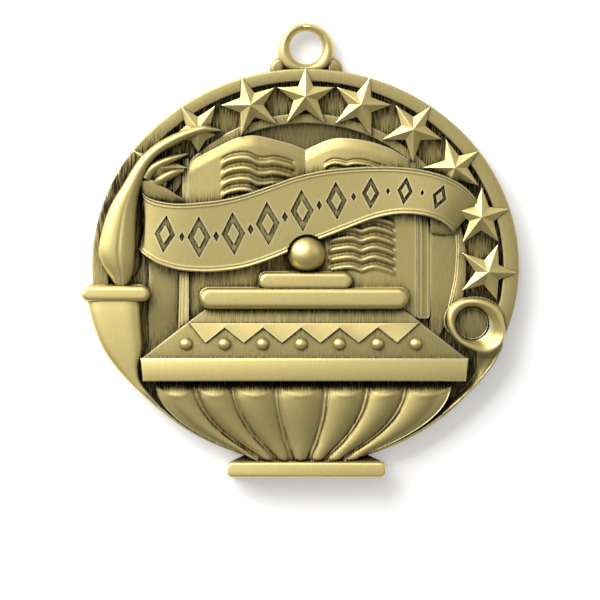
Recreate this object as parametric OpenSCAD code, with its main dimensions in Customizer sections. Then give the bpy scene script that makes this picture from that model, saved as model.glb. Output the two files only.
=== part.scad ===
// Academic medallion: one die casting with raised relief on the face and a flat back.
// The back lies on z = 0, the face looks up, the hanging loop points to +Y.
// The origin is the centre of the oval body on the back.

/* [Oval body] */
// Width of the oval body
oval_w = 59.5; // [54:0.5:72]
// Height of the oval body
oval_h = 55; // [50:0.5:66]
// Thickness of the plate behind the relief
plate_t = 1.7; // [1.4:0.1:2.4]

/* [Rim and bands] */
// Height of the rim above the plate
rim_rise = 1.7; // [1.2:0.1:2.2]
// Width of the rim at the sides
rim_side_w = 2.3; // [1.4:0.1:3.2]
// Width of the rim at the top
rim_top_w = 1.8; // [1.2:0.1:2.6]
// Width of the thin edge that runs round the bottom
edge_w = 0.5; // [0.4:0.05:0.9]
// Width of the sunk channel at the sides
channel_side_w = 5; // [4:0.1:6]
// Width of the sunk channel at the top
channel_top_w = 4.4; // [3.4:0.1:5.4]
// Width of the inner band
band_w = 1.35; // [0.8:0.05:2]
// Height of the inner band above the plate
band_rise = 0.9; // [0.5:0.1:1.4]

/* [Stars] */
// Number of stars
star_count = 9; // [5:1:9]
// Radius of a star over its points
star_r = 3.95; // [3:0.05:4.6]
// Radius of a star at its notches
star_notch_r = 1.8; // [1.2:0.05:2.4]
// Height of a star from its edge to its peak
star_peak = 0.95; // [0.6:0.05:1.8]

/* [Book] */
// Width of one page
page_w = 16.2; // [13:0.1:17]
// Height of the book at its fold
page_h = 23.8; // [21:0.1:25]
// Height of the arch of a page's top edge
page_arch = 2; // [1:0.1:3]
// Rise of a page from its fold to its crest
page_crown = 1; // [0.5:0.05:1.4]
// Width of the cover that shows beside a page
cover_w = 1.3; // [0.8:0.1:2]

/* [Banner] */
// Length of the banner
banner_l = 47.6; // [40:0.2:50]
// Height that the waving banner takes up
banner_h = 14.7; // [12:0.1:17]
// Rise of the banner from its low ends to its crest
banner_crown = 1.5; // [0.8:0.1:2]
// Width of the raised border of the banner
border_w = 0.45; // [0.3:0.05:0.8]
// Depth of the engraved pattern
engrave_d = 0.35; // [0.2:0.05:0.6]

/* [Lamp bowl and foot] */
// Width of the foot
foot_w = 22.1; // [18:0.1:26]
// Height of the foot's front face
foot_h = 2.15; // [1.5:0.05:3]
// How far the foot stands out below the oval
foot_drop = 1.95; // [1:0.05:3]
// Width of the bowl at its top
bowl_w = 41.2; // [36:0.2:44]
// Height of the bowl
bowl_h = 11; // [9:0.1:12]
// Width of the bowl where it meets the foot
bowl_foot_w = 13.8; // [10:0.1:16]
// Height of a flute over its joints
flute_rise = 0.9; // [0.4:0.05:1.3]

/* [Lamp lid and bars] */
// Width of the bar between bowl and lid
rim_bar_w = 45.8; // [40:0.2:48]
// Height of the bar between bowl and lid
rim_bar_h = 3.1; // [2:0.1:4]
// Height of the lid
lid_h = 6.9; // [5.5:0.1:8]
// Width of the lid at its top
lid_top_w = 27.8; // [24:0.1:32]
// Number of teeth in the zigzag band
tooth_count = 6; // [3:1:8]
// Radius of a stud
stud_r = 0.92; // [0.5:0.02:1.1]
// Length of the wide bar on the lid
wide_bar_l = 29; // [24:0.1:34]
// Height of the wide bar on the lid
wide_bar_h = 2.9; // [2:0.05:3.6]
// Length of the narrow bar above it
narrow_bar_l = 13; // [9:0.1:18]
// Height of the narrow bar above it
narrow_bar_h = 2.45; // [1.6:0.05:3]
// Radius of the round knob
knob_r = 2.6; // [2:0.05:2.8]

/* [Lamp spout and flame] */
// Width of the mouth ring of the spout
mouth_w = 9.6; // [8:0.1:11]
// Height of the mouth ring
mouth_h = 2.2; // [1.5:0.05:3]
// How far the mouth ring stands out past the oval
mouth_out = 1.55; // [0.8:0.05:2.2]
// Distance of the mouth ring's middle below the oval's centre line
mouth_down = 3.85; // [3:0.05:5]
// Width of the spout under its mouth ring
spout_w = 7.3; // [6:0.1:8.2]
// Length of the spout below its mouth ring
spout_l = 15; // [12:0.1:17]
// How far the spout swells out past the oval
spout_out = 1.1; // [0.5:0.05:1.5]
// Height of the flame
flame_h = 22.3; // [18:0.1:24]
// Width of the flame from its back to its tip
flame_w = 17; // [14:0.1:20]

/* [Lamp handle] */
// Outer radius of the handle's curl
curl_r = 3.9; // [3.6:0.05:4.8]
// Radius of the sunk eye of the curl
eye_r = 2.37; // [1.6:0.02:2.8]
// Distance of the curl's middle below the oval's centre line
curl_down = 7.95; // [7:0.05:9]
// Width of the rim left free beside the curl
curl_in = 0.78; // [0.5:0.02:1.4]

/* [Hanging loop] */
// Outer radius of the loop
loop_r = 3.95; // [3.4:0.05:4.6]
// Radius of the hole in the loop
hole_r = 2.35; // [1.8:0.05:2.6]
// Wall of the loop over its hole
loop_wall = 1.15; // [0.9:0.05:1.4]
// How far the loop sinks into the body
loop_sink = 1.45; // [1:0.05:1.7]
// Thickness of the loop
loop_t = 2.2; // [1.8:0.1:2.6]
// Height of the loop's underside over the back
loop_lift = 0.5; // [0.2:0.1:0.8]
// Width of a lug beside the loop
lug_w = 1.9; // [1.2:0.1:2.6]

/* [Hidden] */

// Tone of the cast metal
brass = "#b9a864";

// Levels over the back
rim_top = plate_t + rim_rise;
band_top = plate_t + band_rise;
star_edge = rim_top + 0.2;
page_low = plate_t + 0.7;
cover_top = plate_t + 0.95;
banner_low = rim_top - 0.3;
flame_low = rim_top - 0.3;
flame_back_low = plate_t + 0.6;
bar_top = rim_top + 1.4;
narrow_bar_top = bar_top - 0.25;
mouth_top = bar_top + 0.1;
lid_low = rim_top + 0.05;
rim_bar_top = rim_top + 1.75;
bowl_low = plate_t + 0.9;
foot_top = rim_top + 1.1;
slope_low = plate_t + 0.6;
spout_low = plate_t + 1.3;
tail_low = spout_low + 0.1;
curl_top = rim_top + 1.1;
eye_floor = plate_t + 0.9;

// Crowns and rises of the reliefs over their levels
flame_crown = 2;
flame_back_crown = 1.1;
tongue_crown = 1.9;
bowl_crown = 1.2;
spout_crown = 1.5;
tail_crown = 1.35;
lid_rise = 0.9;
tooth_rise = 0.2;
lid_edge_rise = 0.22;
border_rise = 0.2;
fold_rise = 0.5;
fold_drop = 0.45;
line_rise = 0.35;
knob_lift = 0.35;

// Levels at which the reliefs are rooted in the plate, all apart so that no two faces lie in one plane
root_band = plate_t - 0.8;
root_star = plate_t - 0.6;
root_cover = plate_t - 1;
root_page = plate_t - 0.9;
root_line = plate_t - 0.77;
root_banner = plate_t - 0.7;
root_flame = plate_t - 1.1;
root_tongue = plate_t - 0.5;
root_lid = plate_t - 0.75;
root_bar = plate_t - 0.65;
root_rim_bar = plate_t - 0.55;
root_bowl = plate_t - 0.85;
root_curl = plate_t - 0.95;
root_step = 0.06;

// Outlines
oval_steps = 120;
plate_in = 0.25;
broad_low = -(curl_down + 3);
band_low = -(curl_down + 4);
over = 0.1;
star_first = 144.6;
star_step = 18.2;
star_in_side = star_r + 0.55;
star_in_top = star_r - 0.05;

// Overlaps along the lamp, from the foot up
bowl_lift = 0.45;
rim_bar_lap = 0.15;
lid_lap = 0.1;
narrow_bar_lap = 0.3;
knob_lap = 0.05;
book_lap = 1.5;
banner_lift = 4.85;

// Heights on the face, from the foot up
foot_y = -(oval_h / 2 + foot_drop);
bowl_y = foot_y + foot_h + bowl_lift;
rim_bar_y = bowl_y + bowl_h - rim_bar_lap;
lid_y = rim_bar_y + rim_bar_h - lid_lap;
wide_bar_y = lid_y + lid_h;
narrow_bar_y = wide_bar_y + wide_bar_h - narrow_bar_lap;
knob_y = narrow_bar_y + narrow_bar_h + knob_r - knob_lap;
book_y = wide_bar_y - book_lap;
banner_y = knob_y + banner_lift;

// Sideways places of the parts that are a little off the middle
foot_x = 0.1;
bowl_x = -0.3;
lamp_x = -0.2;
narrow_bar_x = 0;
knob_x = 0.15;
banner_x = 0.5;

// Spout and flame
mouth_x = -(oval_w / 2 + mouth_out) + mouth_w / 2;
mouth_y = -mouth_down;
spout_y = mouth_y - mouth_h / 2 + over;
spout_x = mouth_x - spout_w / 2;
flame_in = 2.3;
flame_x = mouth_x - flame_in;
flame_y = mouth_y + mouth_h / 2 + over / 2;

// Handle and loop
curl_y = -curl_down;
curl_x = oval_x(curl_y) - curl_in - curl_r;
tail_l = 7.3;
tail_gap = 0.35;
edge_gap = 0.03;
loop_y = oval_h / 2 - loop_sink + loop_r;
hole_y = loop_y + loop_r - loop_wall - hole_r;
loop_round = 0.95;
hole_land = 1.1;
lug_h = 3.1;
lug_in = 1.5;
lug_down = 1.5;
lug_t = loop_t - 0.35;
// Outline of a lug outwards from the loop: shares of its width and height
lug_outline = [[0, 0], [1.45, 0], [1.45, 0.65], [1.26, 0.84], [1, 0.97], [0.75, 1], [0, 0.94]];
// Rounding of the curl: distance in from its wall, drop below its top
curl_round = [[0, 1.2], [0.15, 0.65], [0.5, 0.2]];
eye_ring_in = 0.1;
eye_ring_w = 0.3;
eye_ring_rise = 0.15;

// Wavy lines on the pages
line_half = 0.45;
line_ridge = 0.4;
line_wave = 0.5;
line_turn = 340;
line_end = 0.04;
line_sink = 0.05;
// Lines of a block: start and end in page widths, drop of the first below the fold's top, sinking, pitch, count
text_blocks = [[-0.72, -0.08, 1, 1, 1.55, 4], [0.14, 0.8, 0.7, 0.35, 1.5, 1], [0.2, 0.8, 10.2, 0.1, 1.4, 6]];

// Bevels, tapers and shares of the lamp
bar_round = 0.85;
rim_bar_taper = 0.9;
rim_bar_bevel = 0.3;
foot_bevel = 0.25;
foot_slope = 1;
slope_share = 0.76;
slope_drop = 0.7;
lid_in = 0.15;
lid_edge_w = 0.45;
lid_edge_out = 0.06;
band_share = 0.73;
gap_share = 0.61;
tip_share = 0.32;
band_in = 0.4;
teeth_left = 2.45;
teeth_right = 3.15;
stud_drop = 0.1;

// Engraved lozenges on the banner: share of the banner's height, width over height, size of the core, reach
border_slope = 0.12;
lozenge_count = 9;
lozenge_share = 0.34;
lozenge_lean = 0.62;
lozenge_core = 0.62;
lozenge_reach = 0.72;

// Right page and left page: share of page width, share of arch, share of crown
page_left = [[0, 0, 0], [0.13, 0.43, 0.35], [0.26, 0.7, 0.68], [0.36, 0.9, 0.88], [0.45, 1, 1],
    [0.55, 0.9, 0.98], [0.64, 0.65, 0.92], [0.75, 0.2, 0.84], [0.87, -0.3, 0.74], [1, -0.95, 0.62]];
page_right = [[0, 0, 0], [0.09, 0.35, 0.35], [0.18, 0.65, 0.66], [0.26, 0.8, 0.86], [0.35, 0.8, 0.98],
    [0.45, 0.72, 1], [0.56, 0.55, 0.95], [0.66, 0.3, 0.87], [0.74, 0.05, 0.8], [0.82, -0.35, 0.72],
    [0.9, -0.7, 0.64], [0.95, -0.95, 0.6]];

// Fold behind the banner's upper left end, as the banner's rows, with its height in fold rises
fold_rows = [[-1, 0.72, -0.96, 0.4, 1.6], [-0.87, 0.82, -0.84, 0.3, 1.1], [-0.79, 0.68, -0.75, 0.28, 0.7],
    [-0.71, 0.5, -0.69, 0.28, 0.4]];
// Outline of the fold behind its lower right end, in half lengths and half heights
fold_outline = [[0.71, 0.05], [0.73, -0.28], [0.855, -0.28], [0.9, 0.1]];

// Banner from left to right: top x, top y, bottom x, bottom y in half lengths and half heights, crown
banner_rows = [[-0.97, 0.46, -0.99, -0.6, 0.15], [-0.925, 0.39, -0.955, -0.7, 0.5],
    [-0.835, 0.32, -0.87, -0.865, 0.82], [-0.745, 0.3, -0.76, -0.965, 1], [-0.625, 0.325, -0.62, -1, 1],
    [-0.505, 0.375, -0.485, -0.975, 0.95], [-0.38, 0.47, -0.36, -0.905, 0.9],
    [-0.225, 0.64, -0.205, -0.735, 0.85], [-0.07, 0.815, -0.055, -0.53, 0.8], [0.075, 0.92, 0.095, -0.34, 0.75],
    [0.22, 0.975, 0.23, -0.17, 0.72], [0.37, 1, 0.365, -0.005, 0.72], [0.505, 0.995, 0.49, 0.085, 0.78],
    [0.655, 0.94, 0.6, 0.095, 0.88], [0.785, 0.83, 0.7, 0.045, 0.92], [0.89, 0.66, 0.775, -0.055, 0.8],
    [0.965, 0.44, 0.825, -0.185, 0.5], [0.992, 0.28, 0.84, -0.25, 0.25]];

// Flame from tip to foot: outer x, outer y, inner x, inner y in flame widths and heights, crown
flame_rows = [[1, 0.971, 0.991, 0.96, 0.5], [0.829, 1, 0.835, 0.944, 0.85], [0.629, 0.951, 0.682, 0.897, 0.93],
    [0.453, 0.877, 0.524, 0.825, 0.97], [0.321, 0.78, 0.424, 0.744, 1], [0.206, 0.641, 0.347, 0.614, 0.98],
    [0.094, 0.466, 0.325, 0.462, 0.96], [0, 0.251, 0.3, 0.251, 0.95], [0.006, 0.143, 0.275, 0.143, 0.85],
    [0.065, 0.049, 0.224, 0.049, 0.6], [0.112, -0.022, 0.188, -0.022, 0.4]];
flame_back = [[0.36, 0.6, 0.372, 0.59, 0.1], [0.335, 0.5, 0.385, 0.49, 0.5], [0.3, 0.38, 0.4, 0.37, 0.8],
    [0.285, 0.25, 0.4, 0.25, 0.9], [0.25, 0.12, 0.365, 0.12, 0.7], [0.24, 0.04, 0.3, 0.04, 0.3]];
flame_levels = [[0, 0.1], [0.12, 0.62], [0.3, 0.95], [0.45, 1], [0.58, 0.7], [0.7, 0.95], [0.88, 0.65],
    [1, 0.1]];
tongue_levels = [[0, 0.1], [0.35, 1], [0.7, 0.75], [1, 0.1]];

// Tongues of the flame: shares of flame width and height, as the flame's rows
tongue_upper = [[0.735, 0.829, 0.73, 0.822, 0.3], [0.62, 0.815, 0.625, 0.785, 0.75],
    [0.505, 0.777, 0.535, 0.74, 0.9], [0.43, 0.725, 0.475, 0.69, 1], [0.395, 0.68, 0.45, 0.66, 0.9]];
tongue_lower = [[0.7, 0.725, 0.7, 0.715, 0.4], [0.6, 0.725, 0.63, 0.67, 0.8], [0.53, 0.7, 0.575, 0.635, 0.95],
    [0.46, 0.655, 0.51, 0.6, 0.9]];

// Spout downwards: share of its length, right edge in spout widths, crown
spout_rows = [[0, 1, 0.9], [0.12, 1.01, 1], [0.27, 1.03, 1], [0.4, 1.05, 0.95], [0.52, 1.02, 0.85],
    [0.64, 0.9, 0.7], [0.76, 0.93, 0.5], [0.88, 1.05, 0.3], [1, 1.22, 0.1]];
round_levels = [[0, 0.15], [0.1, 0.6], [0.28, 0.92], [0.5, 1], [0.72, 0.92], [0.9, 0.6], [1, 0.15]];

// Handle downwards from the curl's eye: share of its length, width, crown
tail_rows = [[0, 3.9, 1], [0.15, 3, 1], [0.3, 2.4, 0.9], [0.5, 1.7, 0.7], [0.75, 1.2, 0.4], [1, 0.8, 0.1]];

// Flutes of the bowl: joint at the bowl's top and at the foot, in half widths
flute_joints = [[-1, -0.93], [-0.73, -0.78], [-0.475, -0.5], [-0.18, -0.22], [0.155, 0.11], [0.435, 0.4],
    [0.695, 0.72], [1, 1]];
flute_steps = 6;
flute_power = 0.6;
joint_power = 2.2;
side_power = 4;
side_drop = 0.45;
// Bowl downwards: share of its height, share of its crown, share of the flute's rise
bowl_rows = [[0, -0.5, 0], [0.07, -0.2, 0.2], [0.13, 0.35, 0.8], [0.2, 0.8, 1], [0.3, 1, 1], [0.42, 1, 1],
    [0.55, 0.92, 0.95], [0.68, 0.78, 0.85], [0.8, 0.6, 0.7], [0.9, 0.42, 0.5], [0.97, 0.25, 0.35], [1, 0, 0.2]];

// Geometry helpers
function oval_x(y) = oval_w / 2 * sqrt(max(0, 1 - pow(2 * y / oval_h, 2)));
function oval_pts(w, h) = [for (i = [0:oval_steps - 1])
    [w / 2 * cos(i * 360 / oval_steps), h / 2 * sin(i * 360 / oval_steps)]];
function mix(a, b, t) = a + (b - a) * t;
function level(table, t, k = 1, i = 0) = i >= len(table) - 2 || t <= table[i + 1][0]
    ? mix(table[i][k], table[i + 1][k], (t - table[i][0]) / (table[i + 1][0] - table[i][0]))
    : level(table, t, k, i + 1);

// A section straight across from point a to point b, with a height for each share across
function section(a, b, low, crown, levels) = [for (l = levels)
    [mix(a.x, b.x, l[0]), mix(a.y, b.y, l[0]), low + crown * l[1]]];

// A closed solid under straight sections, with walls down to floor_z.
// Points across a section run to the left of the way in which the sections follow each other.
module relief(rows, floor_z) {
    n = len(rows);
    m = len(rows[0]);
    top = [for (row = rows, p = row) p];
    foot = [for (row = rows, p = [row[0], row[m - 1]]) [p.x, p.y, floor_z]];
    base = n * m;
    polyhedron(concat(top, foot), concat(
        [for (i = [0:n - 2], j = [0:m - 2]) [i * m + j, i * m + j + 1, (i + 1) * m + j + 1]],
        [for (i = [0:n - 2], j = [0:m - 2]) [i * m + j, (i + 1) * m + j + 1, (i + 1) * m + j]],
        [for (i = [0:n - 2]) [i * m, (i + 1) * m, base + 2 * i + 2, base + 2 * i]],
        [for (i = [0:n - 2]) [(i + 1) * m + m - 1, i * m + m - 1, base + 2 * i + 1, base + 2 * i + 3]],
        [for (i = [0:n - 2]) [base + 2 * i, base + 2 * i + 2, base + 2 * i + 3, base + 2 * i + 1]],
        [concat([base + 1], [for (j = [m - 1:-1:0]) j], [base])],
        [concat([base + 2 * n - 2], [for (j = [0:m - 1]) (n - 1) * m + j], [base + 2 * n - 1])]
    ), convexity = 6);
}

// A closed solid over rings of the same number of points, from the lowest ring up
module rings(list) {
    m = len(list[0]);
    n = len(list);
    polyhedron([for (ring = list, p = ring) p], concat(
        [[for (j = [0:m - 1]) j]],
        [for (i = [0:n - 2], j = [0:m - 1]) [(i + 1) * m + j, (i + 1) * m + (j + 1) % m, i * m + j]],
        [for (i = [0:n - 2], j = [0:m - 1]) [(i + 1) * m + (j + 1) % m, i * m + (j + 1) % m, i * m + j]],
        [[for (j = [m - 1:-1:0]) (n - 1) * m + j]]
    ), convexity = 6);
}

// A straight block with a bevel round its face, wider or narrower at its top side
module bevelled(w_top, w_bottom, h, low, high, bevel) {
    function corners(inset, z) = [[-w_bottom / 2 + inset, inset, z], [w_bottom / 2 - inset, inset, z],
        [w_top / 2 - inset, h - inset, z], [-w_top / 2 + inset, h - inset, z]];
    rings([corners(0, low), corners(0, high - bevel), corners(bevel, high)]);
}

// A bar with round ends and a rounded face, its lower edge at y = 0
module rounded_bar(l, h, low, high) {
    r = h / 2;
    ends = [for (turn = [15, 35, 60, 90]) [l / 2 - r + r * cos(turn), r * sin(turn)]];
    stations = concat([for (e = ends) [-e[0], e[1]]], [for (k = [len(ends) - 1:-1:0]) ends[k]]);
    relief([for (s = stations)
        section([s[0], r - s[1]], [s[0], r + s[1]], high - r * bar_round, s[1] * bar_round,
            round_levels)], low);
}

module plate() {
    color(brass) linear_extrude(plate_t) polygon(oval_pts(oval_w - 2 * plate_in, oval_h - 2 * plate_in));
}

// The opening inside the rim: narrow rim above, thin edge below
function rim_opening() = [for (i = [0:oval_steps - 1])
    let (t = i * 360 / oval_steps, broad = sin(t) * oval_h / 2 > broad_low)
    [(oval_w / 2 - (broad ? rim_side_w : edge_w)) * cos(t),
        (oval_h / 2 - (broad ? rim_top_w : edge_w)) * sin(t)]];

module rim() {
    color(brass) difference() {
        linear_extrude(rim_top) polygon(oval_pts(oval_w, oval_h));
        translate([0, 0, -1]) linear_extrude(rim_top + 2) polygon(rim_opening());
    }
}

module inner_band() {
    out_a = oval_w / 2 - rim_side_w - channel_side_w;
    out_b = oval_h / 2 - rim_top_w - channel_top_w;
    low_t = asin(max(-0.9, band_low / out_b));
    steps = 80;
    angles = [for (i = [0:steps]) mix(low_t, 180 - low_t, i / steps)];
    color(brass) translate([0, 0, root_band]) linear_extrude(band_top - root_band) polygon(concat(
        [for (t = angles) [out_a * cos(t), out_b * sin(t)]],
        [for (i = [steps:-1:0]) [(out_a - band_w) * cos(angles[i]), (out_b - band_w) * sin(angles[i])]]));
}

module star() {
    outline = [for (i = [0:9]) let (r = i % 2 == 0 ? star_r : star_notch_r) [r * cos(36 * i), r * sin(36 * i)]];
    polyhedron(concat([for (p = outline) [p.x, p.y, root_star]], [for (p = outline) [p.x, p.y, star_edge]],
        [[0, 0, star_edge + star_peak]]), concat(
        [[for (i = [0:9]) i]],
        [for (i = [0:9]) [10 + i, 10 + (i + 1) % 10, (i + 1) % 10, i]],
        [for (i = [0:9]) [20, 10 + (i + 1) % 10, 10 + i]]));
}

module stars() {
    color(brass) for (i = [0:star_count - 1]) {
        t = star_first - i * star_step;
        translate([(oval_w / 2 - star_in_side) * cos(t), (oval_h / 2 - star_in_top) * sin(t), 0])
            rotate([0, 0, t]) star();
    }
}

function page_row(row, side) = [[side * row[0] * page_w, book_y, page_low + row[2] * page_crown],
    [side * row[0] * page_w, book_y + page_h + row[1] * page_arch, page_low + row[2] * page_crown]];

// Height of a page's face at a share of its width, left pages having negative shares
function page_z(share) = page_low + page_crown * level(share < 0 ? page_left : page_right, abs(share), 2);

// One wavy raised line across a page, from one share of its width to another
module wavy_line(from, to, y, lean, low) {
    steps = 12;
    relief([for (i = [0:steps])
        let (t = i / steps, s = mix(from, to, t), crest = y + abs(sin(t * line_turn)) * line_wave - t * lean,
            z = page_z(s), rise = line_rise * sqrt(sin(180 * mix(line_end, 1 - line_end, t))))
        [[s * page_w, crest - line_half, z - line_sink], [s * page_w, crest + line_half * line_ridge, z + rise],
            [s * page_w, crest + line_half, z - line_sink]]], low);
}

module book() {
    right_w = page_w * page_right[len(page_right) - 1][0];
    cover_low = book_y - 0.4;
    cover_high = book_y + page_h - page_arch;
    color(brass) {
        relief([for (i = [len(page_left) - 1:-1:0]) page_row(page_left[i], -1)], root_page);
        relief([for (row = page_right) page_row(row, 1)], root_page - root_step);
        // Wavy lines that stand for text
        for (b = [0:len(text_blocks) - 1], i = [0:text_blocks[b][5] - 1])
            let (block = text_blocks[b])
                wavy_line(block[0], block[1], book_y + page_h - block[2] - i * block[4], block[3],
                    root_line + b * 0.02);
        // Cover that shows beside both pages
        translate([0, 0, root_cover]) linear_extrude(cover_top - root_cover) polygon([
            [-page_w - cover_w, cover_low], [right_w + cover_w, cover_low], [right_w + cover_w, cover_high],
            [right_w, cover_high + page_arch / 2], [-page_w, cover_high], [-page_w - cover_w / 2, cover_high]]);
    }
}

// Places on the banner, in half lengths and half heights
function banner_pt(x, y) = [banner_x + x * banner_l / 2, banner_y + y * banner_h / 2];
function banner_z(row) = banner_low + row[4] * banner_crown;
function banner_mid(i) = (banner_rows[i][0] + banner_rows[i][2]) / 2;
function banner_row(t, i = 0) = i >= len(banner_rows) - 2 || t <= banner_mid(i + 1)
    ? let (k = (t - banner_mid(i)) / (banner_mid(i + 1) - banner_mid(i)))
        [for (c = [0:4]) mix(banner_rows[i][c], banner_rows[i + 1][c], k)]
    : banner_row(t, i + 1);

// One engraved lozenge on the banner's middle line, at a share of its half length
module lozenge(t) {
    row = banner_row(t);
    a = banner_pt(row[2], row[3]);
    b = banner_pt(row[0], row[1]);
    tall = norm(b - a) * lozenge_share;
    wide = tall * lozenge_lean;
    function rhomb(k) = [[k * wide, 0], [0, k * tall], [-k * wide, 0], [0, -k * tall]];
    translate([(a.x + b.x) / 2, (a.y + b.y) / 2, banner_z(row) - engrave_d])
        rotate([0, 0, atan2(b.y - a.y, b.x - a.x) - 90]) linear_extrude(engrave_d + 1) difference() {
            polygon(rhomb(1));
            polygon(rhomb(lozenge_core));
        }
}

module banner() {
    color(brass) {
        difference() {
            relief([for (row = banner_rows)
                let (a = banner_pt(row[2], row[3]), b = banner_pt(row[0], row[1]), w = border_w / norm(b - a),
                    s = border_slope / norm(b - a))
                section(a, b, banner_z(row), border_rise,
                    [[0, 1], [w, 1], [w + s, 0], [1 - w - s, 0], [1 - w, 1], [1, 1]])], root_banner);
            for (i = [0:lozenge_count - 1])
                lozenge(mix(-lozenge_reach, lozenge_reach, i / (lozenge_count - 1)));
        }
        relief([for (row = fold_rows)
            let (a = banner_pt(row[2], row[3]), b = banner_pt(row[0], row[1]),
                z = banner_low + row[4] * fold_rise)
            [[a.x, a.y, z], [b.x, b.y, z]]], root_banner - root_step);
        translate([0, 0, root_banner - 2 * root_step])
            linear_extrude(banner_low - fold_drop - root_banner + 2 * root_step)
                polygon([for (p = fold_outline) banner_pt(p.x, p.y)]);
    }
}

module flame() {
    function place(x, y) = [flame_x + x * flame_w, flame_y + y * flame_h];
    function body(rows, low, crown, levels) = [for (row = rows)
        section(place(row[0], row[1]), place(row[2], row[3]), low, crown * row[4], levels)];
    color(brass) {
        relief(body(flame_rows, flame_low, flame_crown, flame_levels), root_flame);
        relief(body(flame_back, flame_back_low, flame_back_crown, tongue_levels), root_flame - root_step);
        relief(body(tongue_upper, flame_low, tongue_crown, tongue_levels), root_tongue);
        relief(body(tongue_lower, flame_low - over, tongue_crown, tongue_levels), root_tongue - root_step);
    }
}

module spout() {
    function swell(row, y) = oval_x(y) + spout_out * (1 - pow(row[0], 3)) + edge_gap;
    color(brass) {
        translate([mouth_x, mouth_y - mouth_h / 2, 0]) rounded_bar(mouth_w, mouth_h, 0, mouth_top);
        relief([for (row = spout_rows)
            let (y = spout_y - row[0] * spout_l)
            section([-swell(row, y), y], [spout_x + row[1] * spout_w, y], spout_low, spout_crown * row[2],
                round_levels)], 0);
    }
}

module handle() {
    ring_out = eye_r - eye_ring_in;
    color(brass) {
        translate([curl_x, curl_y, 0]) rotate_extrude($fn = 72) polygon(concat(
            [[0, root_curl], [curl_r, root_curl]],
            [for (p = curl_round) [curl_r - p[0], curl_top - p[1]]],
            [[(curl_r + eye_r) / 2, curl_top]],
            [for (k = [len(curl_round) - 1:-1:0]) [eye_r + curl_round[k][0], curl_top - curl_round[k][1]]],
            [[eye_r, eye_floor], [ring_out, eye_floor], [ring_out - eye_ring_in, eye_floor + eye_ring_rise],
                [ring_out - eye_ring_w, eye_floor + eye_ring_rise],
                [ring_out - eye_ring_w - eye_ring_in, eye_floor], [0, eye_floor]]));
        relief([for (row = tail_rows)
            let (y = curl_y - eye_r - tail_gap - row[0] * tail_l,
                out = min(oval_x(y), curl_x + curl_r) - edge_gap)
            section([out - row[1], y], [out, y], tail_low, tail_crown * row[2], round_levels)],
            root_curl - root_step);
    }
}

module knob_and_bars() {
    color(brass) {
        translate([lamp_x, wide_bar_y, 0]) rounded_bar(wide_bar_l, wide_bar_h, root_bar, bar_top);
        translate([narrow_bar_x, narrow_bar_y, 0])
            rounded_bar(narrow_bar_l, narrow_bar_h, root_bar - root_step, narrow_bar_top);
        translate([knob_x, knob_y, knob_r + knob_lift]) sphere(r = knob_r, $fn = 48);
    }
}

module lid() {
    half_low = rim_bar_w / 2 - lid_in;
    half_top = lid_top_w / 2;
    band_y = lid_y + lid_h * band_share;
    gap_y = lid_y + lid_h * gap_share;
    tip_y = lid_y + lid_h * tip_share;
    // Half width and height of the lid's face at a place up the face
    function half_at(y) = mix(half_low, half_top, (y - lid_y) / lid_h);
    function field_z(y) = mix(lid_low + lid_rise, lid_low, (y - lid_y) / lid_h);
    first = -half_at(band_y) + teeth_left;
    pitch = (2 * half_at(band_y) - teeth_left - teeth_right) / (tooth_count - 1);
    teeth = [for (i = [0:tooth_count - 1]) [[first + i * pitch, tip_y], [first + (i + 0.5) * pitch, gap_y]]];
    points = [for (i = [0:tooth_count - 1], k = [0:i < tooth_count - 1 ? 1 : 0]) teeth[i][k]];
    color(brass) translate([lamp_x, 0, 0]) {
        relief([for (side = [-1, 1]) [[side * half_low, lid_y, field_z(lid_y)],
            [side * half_top, lid_y + lid_h, field_z(lid_y + lid_h)]]], root_lid);
        // Raised band with teeth along its lower side
        translate([0, 0, root_lid - root_step])
            linear_extrude(field_z(tip_y) + tooth_rise - root_lid + root_step)
                polygon(concat([[-half_at(band_y) + band_in, band_y]], points,
                    [[half_at(band_y) - band_in, band_y]]));
        // A stud under each gap between two teeth, and one past each end
        for (i = [0:tooth_count])
            translate([first + (i - 0.5) * pitch, tip_y - stud_drop, field_z(tip_y)])
                sphere(r = stud_r, $fn = 32);
        // Raised edges along both slanted sides
        for (side = [-1, 1])
            relief([for (y = [lid_y, lid_y + lid_h])
                let (outer = side * (half_at(y) + lid_edge_out), inner = side * (half_at(y) - lid_edge_w),
                    z = field_z(y) + lid_edge_rise)
                [[max(outer, inner), y, z], [min(outer, inner), y, z]]], root_lid - 2 * root_step);
    }
}

module rim_bar() {
    color(brass) translate([lamp_x, rim_bar_y, 0])
        bevelled(rim_bar_w, rim_bar_w - rim_bar_taper, rim_bar_h, root_rim_bar, rim_bar_top, rim_bar_bevel);
}

module bowl() {
    n = len(flute_joints);
    function joint_x(k, s) = mix(flute_joints[k][1] * bowl_foot_w / 2, flute_joints[k][0] * bowl_w / 2,
        1 - pow(s, joint_power));
    function flute_x(k, u, s) = mix(joint_x(k, s), joint_x(k + 1, s), u);
    // How much of the crown is left towards the sides
    function side_share(k, u) = 1 - side_drop * pow(abs((k + u) / (n - 1) * 2 - 1), side_power);
    color(brass) translate([bowl_x, 0, 0]) relief([for (row = bowl_rows)
        let (y = bowl_y + bowl_h * (1 - row[0]))
        [for (k = [0:n - 2], j = [0:flute_steps - (k < n - 2 ? 1 : 0)])
            let (u = j / flute_steps)
            [flute_x(k, u, row[0]), y, bowl_low + bowl_crown * row[1] * side_share(k, u)
                + flute_rise * row[2] * pow(sin(180 * u), flute_power)]]], root_bowl);
}

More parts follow.
